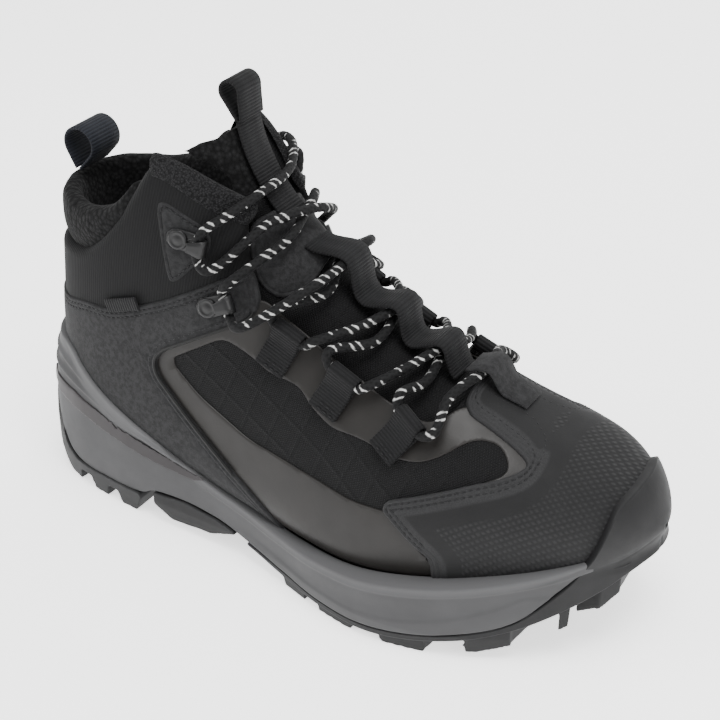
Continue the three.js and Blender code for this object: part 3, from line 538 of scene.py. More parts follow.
def woven_finish(name, color):
    """A tight plain weave seen as tiny squares, with a painted highlight on the thread crossings and painted
    shade between them, crossed by faint quilted lines.
    """
    f = Finish(name, 0.75, specular=0.12, sheen=0.02)
    lean = f.leaning(28)
    weave = f.math("MULTIPLY", f.waves(WEAVE_PITCH, "X", lean), f.waves(WEAVE_PITCH, "Z", lean))
    # painted highlight on the raised thread crossings, painted shade in the hollows between them
    base = f.shades(weave, color, (0.1, 0.45), (0.8, 1.7))
    f.color(f.mix(f.math("MULTIPLY", f.noise(4, 3), 0.3), base, scaled(color, 0.8)))
    f.bump(weave, 0.28, 0.9)
    quilt = f.math("MAXIMUM", f.waves(QUILT_PITCH, "X", f.leaning(62)),
                   f.waves(QUILT_PITCH, "X", f.leaning(-18)))
    f.bump(f.math("POWER", quilt, 24), 0.3)
    return f.material


def softshell_finish(name, color):
    """A smooth outdoor cloth with fine upright ribs, with painted shade between the ribs and a painted
    highlight on their tops.
    """
    f = Finish(name, 0.8, specular=0.1, sheen=0.02)
    rib = f.waves(1.3, "X", f.leaning(-8), distortion=0.6)
    # painted shade between the ribs and a painted highlight on their tops
    f.color(f.mix(f.math("MULTIPLY", rib, 0.5), scaled(color, 0.75), scaled(color, 1.35)))
    f.bump(rib, 0.12, 0.7)
    f.bump(f.noise(0.7, 2), 0.1, 0.5)
    return f.material


def film_finish(name, color):
    """A thin welded plastic film, half glossy, that takes a little of the weave below it."""
    f = Finish(name, 0.42, specular=0.22, coat=0.04)
    f.color(f.shades(f.noise(14, 3), color, (0.3, 0.85), (0.7, 1.15)))
    f.rough(f.noise(6, 4), 0.36, 0.55)
    f.bump(f.noise(1.2, 2), 0.06, 0.5)
    return f.material


NUBUCK = (0.0152, 0.0152, 0.0158)
nubuck = nubuck_finish("nubuck", NUBUCK)
nubuck_patch = nubuck_finish("nubuck_patch", scaled(NUBUCK, 0.9))
toe_leather = toe_finish("toe_leather", NUBUCK)
mesh_cloth = woven_finish("mesh_cloth", (0.0052, 0.0052, 0.0055))
softshell = softshell_finish("softshell", (0.0062, 0.0062, 0.0065))
film = film_finish("film", (0.0100, 0.0090, 0.0082))
print("cloth and leather finishes", len(bpy.data.materials))

# %% Knit, webbing, lace and hard parts
def knit_finish(name, color, loop=2.1):
    """A soft brushed knit whose loops catch the light along their tops."""
    f = Finish(name, 0.95, specular=0.06, sheen=0.03, sheen_roughness=0.6)
    loops = f.cells(loop)
    fuzz = f.noise(0.5, 4)
    base = f.shades(loops, color, (0.05, 1.9), (0.7, 0.25))
    f.color(f.mix(f.math("MULTIPLY", fuzz, 0.4), base, scaled(color, 1.1)))
    f.bump(f.math("SUBTRACT", 1, loops), 0.7, 0.9)
    f.bump(fuzz, 0.25, 0.8)
    return f.material


RIB_PITCH = 1.5


def webbing_finish(name, color):
    """Narrow woven tape: ribs across its length, each a row of small stitches, with painted shade between the
    ribs and a painted highlight on their tops.
    """
    f = Finish(name, 0.72, specular=0.12, sheen=0.02)
    ribs = f.math("SINE", f.math("MULTIPLY", f.attribute("along"), 2 * math.pi / RIB_PITCH))
    ribs = f.math("ADD", f.math("MULTIPLY", ribs, 0.5), 0.5)
    grain = f.cells(0.7)
    # painted shade in the troughs between ribs and a painted highlight on the rib tops
    base = f.shades(ribs, color, (0.0, 0.5), (0.5, 1.3))
    f.color(f.mix(f.math("MULTIPLY", grain, 0.5), base, scaled(color, 0.7)))
    f.bump(ribs, 0.22, 0.9)
    f.bump(grain, 0.12, 0.6)
    return f.material


def lace_finish(name, color, fleck):
    """Braided cord with pale tracer flecks, with painted shade between the strands and a painted highlight on
    their tops.
    """
    f = Finish(name, 0.7, specular=0.12, sheen=0.02)
    # painted shade and highlight: darker where the braid dips between strands, paler on the strand tops
    base = f.shades(f.attribute("strand"), color, (0.25, 0.5), (0.8, 1.7))
    f.color(f.mix(f.attribute("fleck"), base, fleck))
    f.bump(f.noise(0.4, 2), 0.06, 0.6)
    return f.material


def moulded_finish(name, color, roughness, specular, pores, depth, metallic=0.0, coat=0.0, rim=None):
    """Moulded rubber, foam or plastic, and coated metal: fine pores, with a painted highlight that pales the
    rim if asked for.
    """
    f = Finish(name, roughness, specular=specular, metallic=metallic, coat=coat)
    base = f.shades(f.noise(22, 4), color, (0.3, 0.9), (0.7, 1.08))
    # rim: how much paler the top rim is painted, a painted highlight where it faces the lamps
    if rim:
        near = f.math("SUBTRACT", 1, f.math("DIVIDE", f.attribute("edge"), 3, clamp=True), clamp=True)
        base = f.mix(near, base, scaled(color, rim))
    f.color(base)
    f.rough(f.noise(5, 4), roughness - 0.06, roughness + 0.08)
    f.bump(f.noise(pores, 3), depth, 0.6)
    return f.material


knit = knit_finish("knit", (0.0058, 0.0058, 0.006))
binding = knit_finish("binding", (0.0115, 0.0115, 0.012), 0.9)
lining_knit = knit_finish("lining_knit", (0.0048, 0.0048, 0.005), 1.1)
webbing = webbing_finish("webbing", (0.0058, 0.0058, 0.0062))
webbing_blue = webbing_finish("webbing_blue", (0.0095, 0.0108, 0.0145))
lace_braid = lace_finish("lace_braid", (0.0034, 0.0034, 0.0036), (0.5, 0.5, 0.49))
thread = moulded_finish("thread", (0.0075, 0.0075, 0.008), 0.6, 0.2, 0.3, 0.02)
piping_edge = moulded_finish("piping_edge", (0.0035, 0.0035, 0.0035), 0.55, 0.2, 0.4, 0.04)
hook_metal = moulded_finish("hook_metal", (0.0055, 0.0055, 0.0058), 0.42, 0.3, 0.3, 0.015,
                            metallic=0.12, coat=0.08)
# the foam's top rim gets a painted highlight, 1.55 times paler
foam_grey = moulded_finish("foam_grey", (0.043, 0.043, 0.0442), 0.62, 0.22, 0.5, 0.05, rim=1.55)
inset_dark = moulded_finish("inset_dark", (0.0150, 0.0125, 0.0135), 0.5, 0.25, 0.6, 0.03)
rubber = moulded_finish("rubber", (0.0072, 0.0072, 0.0076), 0.58, 0.2, 0.7, 0.06)
board = moulded_finish("board", (0.35, 0.3, 0.22), 0.8, 0.2, 0.8, 0.05)
steel = moulded_finish("steel", (0.5, 0.5, 0.5), 0.35, 0.5, 0.4, 0.01, metallic=1.0)
print("finishes", len(bpy.data.materials))

# %% [markdown]
# The lace is one cord. It starts beside the ankle, drops through the upper hook, zigzags down to the toe
# through webbing loops, turns straight across at the bottom and comes back up the other way. It lies where
# the frame's lace lies, so its chosen points are repeated here.

# %% Lace route
LACE_ROUTE = [
    # one end hangs beside the ankle, medial side
    (-69, 49.8, 72), (-69, 49.6, 112), (-66.8, 49, 146), (-60, 48.2, 160), (-51.5, 47, 162.5),
    # upper hook
    (-48.5, 42.5, 155.2), (-49.5, 43.6, 143.7), (-44.4, 43.8, 140.1), (-27.6, 23, 158.4),
    (-21.8, 5, 156.6), (-19.3, -10.8, 152.9),
    # lower hook
    (-33.6, -34.5, 137.8), (-37.1, -34.8, 132.6), (-32.2, -36.1, 122.2), (-23.8, -42.3, 122.8),
    # loop 1
    (0.3, -16.6, 140.7), (2.9, 5, 142.4), (6.1, 22.9, 132.8), (-15, 36.6, 127.2), (-14.2, 37.9, 122.6),
    (0.8, 37.1, 116.2), (5.5, 36.1, 119.1),
    # loop 2
    (17.3, 22.7, 122.5), (24.9, 5, 122.5), (25.3, -13.1, 118.1), (11.6, -28, 115.9),
    (12.9, -29.5, 110.6), (28.1, -30.2, 104.5), (32.8, -28.9, 107.3),
    # loop 3
    (41.1, -15, 111), (50.1, 5, 116.1), (51.1, 24.2, 109.8), (46.9, 35.2, 107.3), (47.2, 37.3, 102.1),
    (61.2, 41.1, 94.4), (66.3, 40.5, 96.6),
    # straight across at the bottom
    (64.2, 28.3, 106.4), (70.2, 6.6, 110.6), (64.3, -18.6, 106.6),
    # loop 3
    (65.6, -33.7, 97.8), (60.5, -34.5, 95.4), (46.3, -29.2, 101.5), (45.7, -26.3, 106.3),
    (50.7, -13.9, 107.4), (48.1, 5, 111.3), (41.2, 22.8, 110.9),
    # loop 2
    (32.9, 35.5, 107.2), (28.2, 36.6, 104.3), (13.1, 36.4, 110.7), (11.9, 35.2, 116),
    (26.3, 23.3, 120.1), (27.4, 5, 127.1), (17.2, -14.2, 122.7),
    # loop 1
    (5.3, -28.6, 119.4), (0.6, -29.8, 116.4), (-14.5, -30, 122.6), (-15.3, -28.3, 127.1),
    (1, -11.7, 133.7), (-3.3, 5, 140.2), (-0.9, 26, 141.5),
    # lower hook
    (-23.7, 50.7, 122.3), (-32.2, 44.5, 121.9), (-37, 43.5, 132.4), (-33.5, 43.4, 137.6),
    # upper hook
    (-18, 21.5, 154.4), (-18.4, 5, 160.5), (-26.4, -14.5, 159.5), (-44.4, -35.6, 140.5),
    (-49.5, -35.1, 144), (-48.6, -33.4, 155.5),
    # across the tongue, and the other end hangs down
    (-41.2, -26.1, 162.9), (-34.1, -8.9, 169.5), (-35.3, 14.3, 171.4), (-46.6, 33.8, 173.7),
    (-58, 43, 170.5), (-69.5, 48.2, 160), (-76.5, 49.5, 142), (-78, 49.6, 105), (-77, 49.6, 64),
]
LACE_DIAMETER = 4.2


def through(points, per_span):
    """A smooth curve through the points; a span's weight follows the root of its length, as in the frame."""
    p = np.array(points, float)
    p = np.vstack([2 * p[0] - p[1], p, 2 * p[-1] - p[-2]])
    out = []
    for k in range(1, len(p) - 2):
        p0, p1, p2, p3 = p[k - 1:k + 3]
        d1, d2, d3 = (max(np.linalg.norm(b - a) ** 0.5, 1e-6) for a, b in ((p0, p1), (p1, p2), (p2, p3)))
        m1 = ((p1 - p0) / d1 - (p2 - p0) / (d1 + d2) + (p2 - p1) / d2) * d2
        m2 = ((p2 - p1) / d2 - (p3 - p1) / (d2 + d3) + (p3 - p2) / d3) * d2
        out += [hermite(p1, m1, p2, m2, t) for t in np.arange(per_span) / per_span]
    out.append(p[-2])
    return np.array(out)


def evenly(line, step):
    """The same line with points an even step apart."""
    lengths = np.concatenate([[0], np.cumsum(np.linalg.norm(np.diff(line, axis=0), axis=1))])
    at = np.linspace(0, lengths[-1], max(int(round(lengths[-1] / step)), 2) + 1)
    return np.stack([np.interp(at, lengths, line[:, k]) for k in range(3)], axis=1), at


def frames_along(line):
    """Two directions square to a line, carried along it without twisting."""
    tangent = np.gradient(line, axis=0)
    tangent /= np.linalg.norm(tangent, axis=1)[:, None]
    side = np.cross(tangent[0], [0.3, 0.2, 0.93])
    side /= np.linalg.norm(side)
    sides = [side]
    for t in tangent[1:]:
        side = sides[-1] - t * (sides[-1] @ t)
        sides.append(side / np.linalg.norm(side))
    sides = np.array(sides)
    return sides, np.cross(tangent, sides), tangent


def tube(name, line, radius, sides, material):
    """A closed round tube; radius is a number, or a value for each point of each ring."""
    u, v, _ = frames_along(line)
    angle = np.arange(sides) * 2 * math.pi / sides
    ring = np.cos(angle)[None, :, None] * u[:, None] + np.sin(angle)[None, :, None] * v[:, None]
    radius = np.broadcast_to(radius, (len(line), sides))
    verts = (line[:, None] + ring * radius[:, :, None]).reshape(-1, 3)
    return link(name, verts, tube_faces(len(line), sides), material)


print("lace route", len(LACE_ROUTE), "chosen points")


# %% Braided lace
LACE_SIDES = 16
LACE_STEP = 0.55
BRAID_PITCH = 7.0
BRAID_RELIEF = 0.2
STRANDS = 5
FLECK_EVERY = 9.0
FLECK_LENGTH = 3.4
FLECK_WIDTH = 0.24
FLECK_SHIFT = 2.5


def place(obj, slot, *nodes, body="boot"):
    """Puts a piece on its body and hides the frame solids that it stands for; the slot is not used."""
    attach(obj, body)
    if nodes:
        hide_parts(*nodes)
    return obj


def make_lace():
    """The braided cord: two sets of strands wind opposite ways, and tracers leave pale flecks."""
    line, along = evenly(through(LACE_ROUTE, 12), LACE_STEP)
    angle = np.arange(LACE_SIDES) * 2 * math.pi / LACE_SIDES
    turns = 2 * math.pi * along[:, None] / BRAID_PITCH
    left = np.sin(STRANDS * angle[None] + turns * 2)
    right = np.sin(STRANDS * angle[None] - turns * 2)
    strand = np.maximum(left, right)
    radius = LACE_DIAMETER / 2 - 0.16 + BRAID_RELIEF * strand
    lace = tube("lace_braided", line, radius, LACE_SIDES, lace_braid)
    # the strand relief is kept so that the finish can paint shade between the strands
    keep_values(lace, "strand", (strand.ravel() + 1) / 2)
    tracer = (angle[None] / (2 * math.pi) * 2 - along[:, None] / BRAID_PITCH * 2) % 2
    spaced = (along[:, None] + FLECK_SHIFT * np.floor(tracer)) % FLECK_EVERY < FLECK_LENGTH
    fleck = (tracer % 1 < FLECK_WIDTH) & spaced
    # the flecks take the same painted shade between the strands
    keep_values(lace, "fleck", fleck.ravel().astype(float) * np.clip(0.6 + 0.4 * strand.ravel(), 0, 1))
    place(lace, "lace", "lace")
    print("lace", round(float(along[-1])), "mm")
    return lace


make_lace()

# %% [markdown]
# The boot stands on a plain pale floor in soft studio light: one large lamp high on the toe side, a fill
# from the other side, and an even white surround.

# %% Floor and light
FLOOR_SIZE = 8.0
floor_mesh = bpy.data.meshes.new("floor")
half = FLOOR_SIZE / 2
corners = [(-half, -half, 0), (half, -half, 0), (half, half, 0), (-half, half, 0)]
floor_mesh.from_pydata(corners, [], [(0, 1, 2, 3)])
floor = linked(bpy.data.objects.new("floor", floor_mesh))
floor_finish = Finish("floor", 0.9, specular=0.1)
floor_finish.color((0.9, 0.9, 0.9))
floor_finish.set(floor_finish.shader, {"Emission Color": (1, 1, 1, 1), "Emission Strength": 1.4})
floor_mesh.materials.append(floor_finish.material)

world = bpy.data.worlds.new("studio")
world.use_nodes = True
Finish.set(world.node_tree.nodes["Background"], {"Color": (1, 1, 1, 1), "Strength": 0.95})
bpy.context.scene.world = world


LAMP_AIM = Vector((0, 0, 0.08))


def lamp(name, where, size, watts):
    """A round lamp, aimed at the boot; place and size in metres."""
    light = bpy.data.lights.new(name, "AREA")
    light.shape = "DISK"
    light.size = size
    light.energy = watts
    obj = linked(bpy.data.objects.new(name, light))
    obj.location = where
    obj.rotation_euler = (LAMP_AIM - Vector(where)).to_track_quat("-Z", "Y").to_euler()


lamp("key", (0.25, -0.25, 1.5), 0.9, 26)
lamp("side", (-1.2, -0.9, 0.9), 0.9, 14)
lamp("front", (1.3, -0.5, 0.7), 0.8, 10)
lamp("back", (0.1, 1.3, 0.9), 1.0, 10)
print("lamps", len(bpy.data.lights))

# %% [markdown]
# The upper is layered from the inside out: woven mesh first, then a thin welded film round the forefoot,
# then brushed leather over the heel and the toe. Their outlines are drawn in the side view and cut from the
# last.

# %% Lines of the upper
THROAT = [[115, 176], [114, 156], [119, 141], [125.5, 128], [136, 121.5], [145, 117], [159, 109], [170, 105],
          [184, 98.7], [196, 95.8], [207, 94], [213, 97], [216, 101.5], [217, 106], [217, 140]]
PANEL_TOP = [[-20, 126], [24, 127], [36, 130], [46, 139], [57, 153], [66, 169], [71, 178], [76, 182],
             [86, 178], [98, 171], [107, 166], [114, 165]]
QUARTER_TOP = [[-20, 98], [20, 98], [35, 103], [51, 105], [67, 112], [81, 119], [98, 129], [108, 135],
               [119, 141]]
QUARTER_FRONT = [[126, 127], [122, 119], [99, 105.5], [81, 94], [77, 88], [79, 82], [99, 65.5], [118, 50],
                 [135, 38], [150, 28], [150, 10], [-20, 10]]
FILM_WINDOW = [[84, 91], [101, 79], [129, 66.5], [156, 62], [184, 60], [203, 62], [219, 73], [233, 79],
               [246, 84], [238, 91], [227, 93], [217, 86], [210, 83], [202, 82], [189, 83], [179, 84],
               [167, 84], [156, 90], [149, 97], [134, 99], [125, 104], [111, 109]]
TOE_CAP_REAR = [[223, 10], [223, 46], [205, 59.5], [200, 62], [201, 66.5], [219, 74], [233, 79.5], [246, 83],
                [251, 85.5], [242, 90], [230, 95], [220, 99], [216, 103], [217, 125], [330, 125], [330, 10]]
HOOK_PATCH = [[77, 163.5], [80.5, 166], [101, 155], [102.5, 146], [87.5, 129], [83.5, 129]]


def moved(points, dx, dz):
    """The drawn points, shifted."""
    return [[x + dx, z + dz] for x, z in points]


MESH_LINE = rounded([[-30, 10], *moved(QUARTER_TOP, 0, 2), *THROAT[3:14], [217, 112], [330, 112],
                     [330, 10]], 2)
FILM_LINE = rounded([[70, 10], [70, 92], [81, 99], [99, 112], [119, 126], [126, 129],
                     *moved(THROAT[4:12], 0, 1.2), [217, 101], [230, 100], [246, 90], [258, 84], [246, 72],
                     [222, 62], [214, 54], [226, 40], [228, 10]], 5)
ANKLE_LINE = rounded([*moved(QUARTER_TOP, 0, -4), [114, 156], [113.5, 160],
                      *moved(PANEL_TOP[1:-1], 0.5, -0.3)[::-1], [-20, 127]], 5)
QUARTER_LINE = rounded([*QUARTER_TOP, *QUARTER_FRONT], 4)
TOE_LINE = rounded(TOE_CAP_REAR, 4)
PATCH_LINE = rounded(HOOK_PATCH, 6)
print("outlines drawn, throat from", THROAT[0], "to", THROAT[-1])

# %% Mesh, ankle cloth, film and leather
FILM_LIFT = (0.05, 0.75)
NUBUCK_LIFT = (0.5, 2.35)
NUBUCK_EDGE = 1.0
PATCH_LIFT = (0.7, 2.1)
STITCH_ROWS = (2.3, 4.4)
TOE_ROWS = (1.9, 3.9)
PATCH_ROWS = (2.0,)
ROLL_RADIUS = 4.5
ROLL_DEPTH = -4.2
ROLL_RISE = 5.6
SWELL = 0.5
SWELL_REACH = 34

mesh_upper = panel("mesh_upper_cloth", MESH_LINE, "both", lambda d: 0 * d, mesh_cloth)
place(mesh_upper, "mesh", "mesh_upper")


def ankle_height(d):
    """The cloth rolls over the pad at its top edge and swells a little below it."""
    turn = np.minimum(d / ROLL_RADIUS, 1)
    swell = SWELL * np.sin(np.clip(d / SWELL_REACH, 0, 1) * math.pi)
    return ROLL_DEPTH + ROLL_RISE * np.sqrt(1 - (1 - turn) ** 2) + swell


ankle = panel("ankle_cloth", ANKLE_LINE, "both", ankle_height, softshell, (0.3, 0.9, 1.8, 3, ROLL_RADIUS))
place(ankle, "softshell", "ankle_panel")

for side in SIDE_SIGN:
    sheet = panel("film_" + side + "_skin", FILM_LINE, side, folded(*FILM_LIFT, 0.5), film, (0.15, 0.5),
                  holes=[rounded(FILM_WINDOW, 5)])
    place(sheet, "film", "film_" + side)

quarter = stitched_panel("quarter_leather", QUARTER_LINE, "both", NUBUCK_LIFT, NUBUCK_EDGE, STITCH_ROWS,
                         nubuck)
place(quarter, "nubuck", "quarter_overlay")
toe = stitched_panel("toe_leather", TOE_LINE, "both", NUBUCK_LIFT, NUBUCK_EDGE, TOE_ROWS, toe_leather,
                     (TOE_BORDER, TOE_BORDER + 1, GRAIN_START, GRAIN_START + 1))
place(toe, "nubuck", "toe_cap")
for side in SIDE_SIGN:
    patch = stitched_panel("hook_patch_" + side + "_leather", PATCH_LINE, side, PATCH_LIFT, 0.8, PATCH_ROWS,
                           nubuck_patch)
    place(patch, "nubuck", "hook_patch_" + side)

# %% [markdown]
# Webbing is a flat woven tape, so one maker bends a tape along a path. It is used for the lace loops, the
# keeper strap on the tongue, both pull loops and the small side tag, and with a changing width for the
# hooks.

# %% Tape maker
TAPE_BEVEL = 0.45
PLAIN = 3.0  # an edge value that no finish takes for a cut edge


def tape_section(w, h, bevel):
    """A flat section with cut corners; h is half the thickness."""
    half = [(-w / 2 + bevel, -h), (-w / 6, -h), (w / 6, -h), (w / 2 - bevel, -h), (w / 2, -h + bevel)]
    return [(-w / 2, -h + bevel), *half, (w / 2, h - bevel), *[(a, -b) for a, b in half[3::-1]],
            (-w / 2, h - bevel)]


def tape(name, path, across, width, thickness, material, step=0.7, bevel=TAPE_BEVEL):
    """A tape bent along a path in millimetres; its width runs along across and may change from end to end."""
    line, along = evenly(np.array(path, float), step)
    width = np.interp(along / along[-1], np.linspace(0, 1, np.size(width)), np.atleast_1d(width))
    across = np.array(across, float) / np.linalg.norm(across)
    tangent = np.gradient(line, axis=0)
    tangent /= np.linalg.norm(tangent, axis=1)[:, None]
    up = np.cross(tangent, across)
    up /= np.linalg.norm(up, axis=1)[:, None]
    rings = [[spot + across * a + rise * b for a, b in tape_section(w, thickness / 2, bevel)]
             for spot, rise, w in zip(line, up, width)]
    sides = len(rings[0])
    verts = np.array(rings).reshape(-1, 3)
    obj = link(name, verts, tube_faces(len(line), sides), material)
    keep_values(obj, "along", np.repeat(along, sides))
    keep_values(obj, "edge", np.full(len(verts), PLAIN))
    return obj


# %% Places on the boot's side
SEARCH_STEPS = 40



def find_place(point):
    """The slice and the way round it at which the side view shows a point."""
    x, z = point

    def offside(s):
        fx, fz, bx, bz = slice_at(np.array([s], float))[0, :4]
        return (bx - fx) * (z - fz) - (bz - fz) * (x - fx)

    low, high = 0.0, LAST_SLICE - 0.5
    sign = math.copysign(1, offside(low))
    for _ in range(SEARCH_STEPS):
        half = (low + high) / 2
        if math.copysign(1, offside(half)) == sign:
            low = half
        else:
            high = half
    fx, fz, bx, bz, _, _, widest, square_f, square_b = slice_at(np.array([low]))[0, :9]
    d = ((x - fx) * (bx - fx) + (z - fz) * (bz - fz)) / ((bx - fx) ** 2 + (bz - fz) ** 2)
    if d < widest:
        return low, math.acos((1 - max(d, 0) / widest) ** (square_f / 2))
    return low, math.acos(-(((d - widest) / (1 - widest)) ** (square_b / 2)))


def on_side(point, side, lift):
    """The place on the last's side that the side view shows at a point, and the outward direction there."""
    s, a = find_place(point)
    return off_last([s], [a * side], lift)[0], last_normal([s], [a * side])[0]


def seat(start, toward, side, lift):
    """Base point and the along, across and outward directions of a small part on the upper's side."""
    base, base_n = on_side(start, side, lift)
    ahead, _ = on_side(toward, side, lift)
    along = ahead - base
    along -= base_n * (along @ base_n)
    along /= np.linalg.norm(along)
    return base, along, np.cross(base_n, along), base_n


def arc(cx, cy, radius, start, end, steps=14):
    """Points on an arc, angles in degrees."""
    return [(cx + radius * math.cos(math.radians(t)), cy + radius * math.sin(math.radians(t)))
            for t in np.linspace(start, end, steps)]


# %% Lace loops
LOOPS = [[(136.5, 106), (141, 117.5)], [(164, 94), (168.5, 104.5)], [(196, 85.5), (202, 93.5)]]
LOOP_REACH = 13.5
WEB = 1.5
WEB_WIDTH = 14
EYE = LACE_DIAMETER / 2 + 0.3 + WEB / 2
LOOP_FLAT = [(-5.5, 0.2), (0, 0.1), (6, 0.3), *arc(LOOP_REACH, EYE + 0.1, EYE, -90, 90), (7.5, 2.6),
             (5, 1.9), (0, 1.6), (-5.5, 1.6)]
LOOP_SEATS = {}
for side, sign in SIDE_SIGN.items():
    for k, (start, toward) in enumerate(LOOPS):
        base, along, across, out = seat(start, toward, sign, 1.9)
        path = [base + along * a + out * b for a, b in LOOP_FLAT]
        loop = tape("lace_loop_%s_%d_web" % (side, k + 1), path, across, WEB_WIDTH, 1.3, webbing, 0.6)
        place(loop, "webbing", "lace_loop_%s_%d" % (side, k + 1))
        LOOP_SEATS[side, k] = base, along, across, out
print("lace loops", len(LOOP_SEATS))

# %% Keeper strap and pull tab
ACROSS = (0, 1, 0)
STRAP_FROM = 3.7
STRAP_TO = 10
STRAP_WIDTH = 18
ARCHES = 3
ARCH_STEPS = 42
STRAP_ARCH = 2 * LACE_DIAMETER + 2.1
TONGUE_TOP = -3.3
PULL_WIDTH = 17


def ridge(s, lift):
    """A point above the ridge of the last, along the middle of the instep."""
    return off_last([s], [0.0], lift)[0]


path = []
for k in range(ARCH_STEPS * ARCHES + 1):
    s = STRAP_FROM + (STRAP_TO - STRAP_FROM) * k / (ARCH_STEPS * ARCHES)
    wave = math.sin(math.pi * k / ARCH_STEPS) ** 2
    path.append(ridge(s, TONGUE_TOP + WEB / 2 + STRAP_ARCH * wave))
strap = tape("tongue_strap_web", path, ACROSS, STRAP_WIDTH, WEB, webbing)
place(strap, "webbing", "tongue_strap")
path = [ridge(s, TONGUE_TOP + 0.8) for s in np.linspace(0.62, 2.9, 24)]
tab = tape("tongue_pull_tab_web", path, ACROSS, PULL_WIDTH, 1.4, webbing)
place(tab, "webbing", "tongue_pull_tab")
print("keeper strap in", ARCHES, "arches")

# %% Pull loops, throat tab and side tag
EYE_OPENS = 62  # degrees each side of the foot at which the tape leaves the round eye




def pull_loop(name, node, foot, centre, radius, width, material, body):
    """A tape that comes up from its foot, runs round an eye and goes back down to the foot."""
    fx, fz = foot[0] - MIDDLE_X, foot[1]
    cx, cz = centre[0] - MIDDLE_X, centre[1]
    down = math.degrees(math.atan2(fz - cz, fx - cx))
    ring = arc(cx, cz, radius - WEB / 2, down + EYE_OPENS, down - EYE_OPENS + 360, 26)
    side = np.array([-math.sin(math.radians(down)), math.cos(math.radians(down))]) * WEB * 0.62
    path = [(fx + side[0], fz + side[1]), *ring, (fx - side[0], fz - side[1])]
    path = through([(x, 0 - MIDDLE_Y, z) for x, z in path], 3)
    loop = tape(name, path, ACROSS, width, 1.4, material)
    return place(loop, "webbing", node, body=body)


pull_loop("heel_pull_web", "heel_pull_loop", (12.5, 152), (13.5, 164), 8.5, 20, webbing_blue, "heel_loop")
pull_loop("tongue_pull_web", "tongue_pull_loop", (99.5, 195.3), (94.5, 207.5), 5.5, PULL_WIDTH, webbing,
          "tongue_loop")

TAB_FROM = 10.15
TAB_TO = 12.3
TAB_RISES = 10.0
TAB_LANDS = 11.6
TAB_ARCH = 6.2
path = []
for s in np.linspace(TAB_FROM, TAB_TO, 40):
    share = min(max((s - TAB_RISES) / (TAB_LANDS - TAB_RISES), 0), 1)
    path.append(ridge(s, 3.35 + TAB_ARCH * math.sin(math.pi * share) ** 2))
throat_tab = tape("throat_tab_leather", path, ACROSS, [17, 17.5, 17, 14.5], 1.3, nubuck_patch)
place(throat_tab, "nubuck", "throat_tab")

base, along, across, out = seat((50.5, 107), (69.5, 114.8), 1, 2.9)
path = [base + along * a + out * 0.2 for a in (0, 5, 10, 15, 20)]
tag = tape("side_tag_web", path, across, 6.5, 1.0, webbing)
place(tag, "webbing", "side_tag")

# %% [markdown]
# Each lace hook is pressed from sheet steel: a round tail under a rivet, a narrow neck, and an arm folded
# up and back so that the lace can be slipped under it.

# %% Hooks and rivets
HOOKS = {"upper": [(88.4, 150.1), (104, 148)], "lower": [(104, 122), (116, 127)]}
HOOK_PLATE = 1.1
HOOK_ROOM = LACE_DIAMETER + 0.6
BEND = HOOK_ROOM / 2 + HOOK_PLATE / 2
HOOK_REACH = 14
HOOK_FRONT = HOOK_REACH - HOOK_ROOM / 2 - HOOK_PLATE
HOOK_FLAT = [(-5.2, 0), (HOOK_FRONT, 0), *arc(HOOK_FRONT, BEND, BEND, -90, 90),
             (HOOK_FRONT - 4.5, 2 * BEND + 0.5)]
HOOK_WIDTHS = [3.6, 7.6, 9, 9, 9, 9, 8.8, 8.4, 8, 7.8, 8, 8.2, 8, 7.4, 6.2, 5, 4.2]
HOOK_LIFT = {"upper": 2.4, "lower": 3.2}
HOLE_AT = 6.1
TURNED_SIDES = 28
# radius, and height above the hook's plate
RIVET_PROFILE = [(4.3, 0.15), (4.45, 0.5), (4.1, 0.95), (3.2, 1.15), (2.9, 0.9), (2.2, 0.85), (1.5, 1.1),
                 (0.3, 1.25)]
HOLE_PROFILE = [(2.3, -0.2), (2.3, 0.2), (2.0, 0.35), (1.7, 0.2), (1.65, 0.04)]


def turned(name, profile, base, axis, u, v):
    """A small round piece of hook metal, from a profile turned about an axis."""
    verts = []
    for r, h in profile:
        for k in range(TURNED_SIDES):
            t = 2 * math.pi * k / TURNED_SIDES
            verts.append(base + axis * (HOOK_PLATE + h) + u * (r * math.cos(t)) + v * (r * math.sin(t)))
    obj = link(name, verts, tube_faces(len(profile), TURNED_SIDES), hook_metal)
    keep_values(obj, "edge", np.full(len(verts), PLAIN))
    return obj


for name, (start, toward) in HOOKS.items():
    for side, sign in SIDE_SIGN.items():
        base, along, across, out = seat(start, toward, sign, HOOK_LIFT[name])
        path = [base + along * a + out * (b + HOOK_PLATE / 2) for a, b in HOOK_FLAT]
        which = name + "_" + side
        arm = tape("hook_%s_arm" % which, path, across, HOOK_WIDTHS, HOOK_PLATE, hook_metal, 0.5, 0.3)
        place(arm, "hook", "hook_" + which)
        hole = turned("hook_%s_hole" % which, HOLE_PROFILE, base + along * HOLE_AT, out, along, across)
        hole.data.materials.append(piping_edge)
        hole.data.polygons[len(hole.data.polygons) - 1].material_index = 1  # the floor of the hole is dark
        place(hole, "hook")
        rivet = turned("rivet_%s_head" % which, RIVET_PROFILE, base, out, along, across)
        place(rivet, "hook", "rivet_" + which)
print("hooks", len(HOOKS) * len(SIDE_SIGN))

# %% [markdown]
# The sole is a cup of moulded foam with rubber below. Its wall follows the sole's outline. The wall leans
# in towards the top, carries two sculpted ridges that run forward from the heel, and has a recess for the
# darker stabiliser strip.

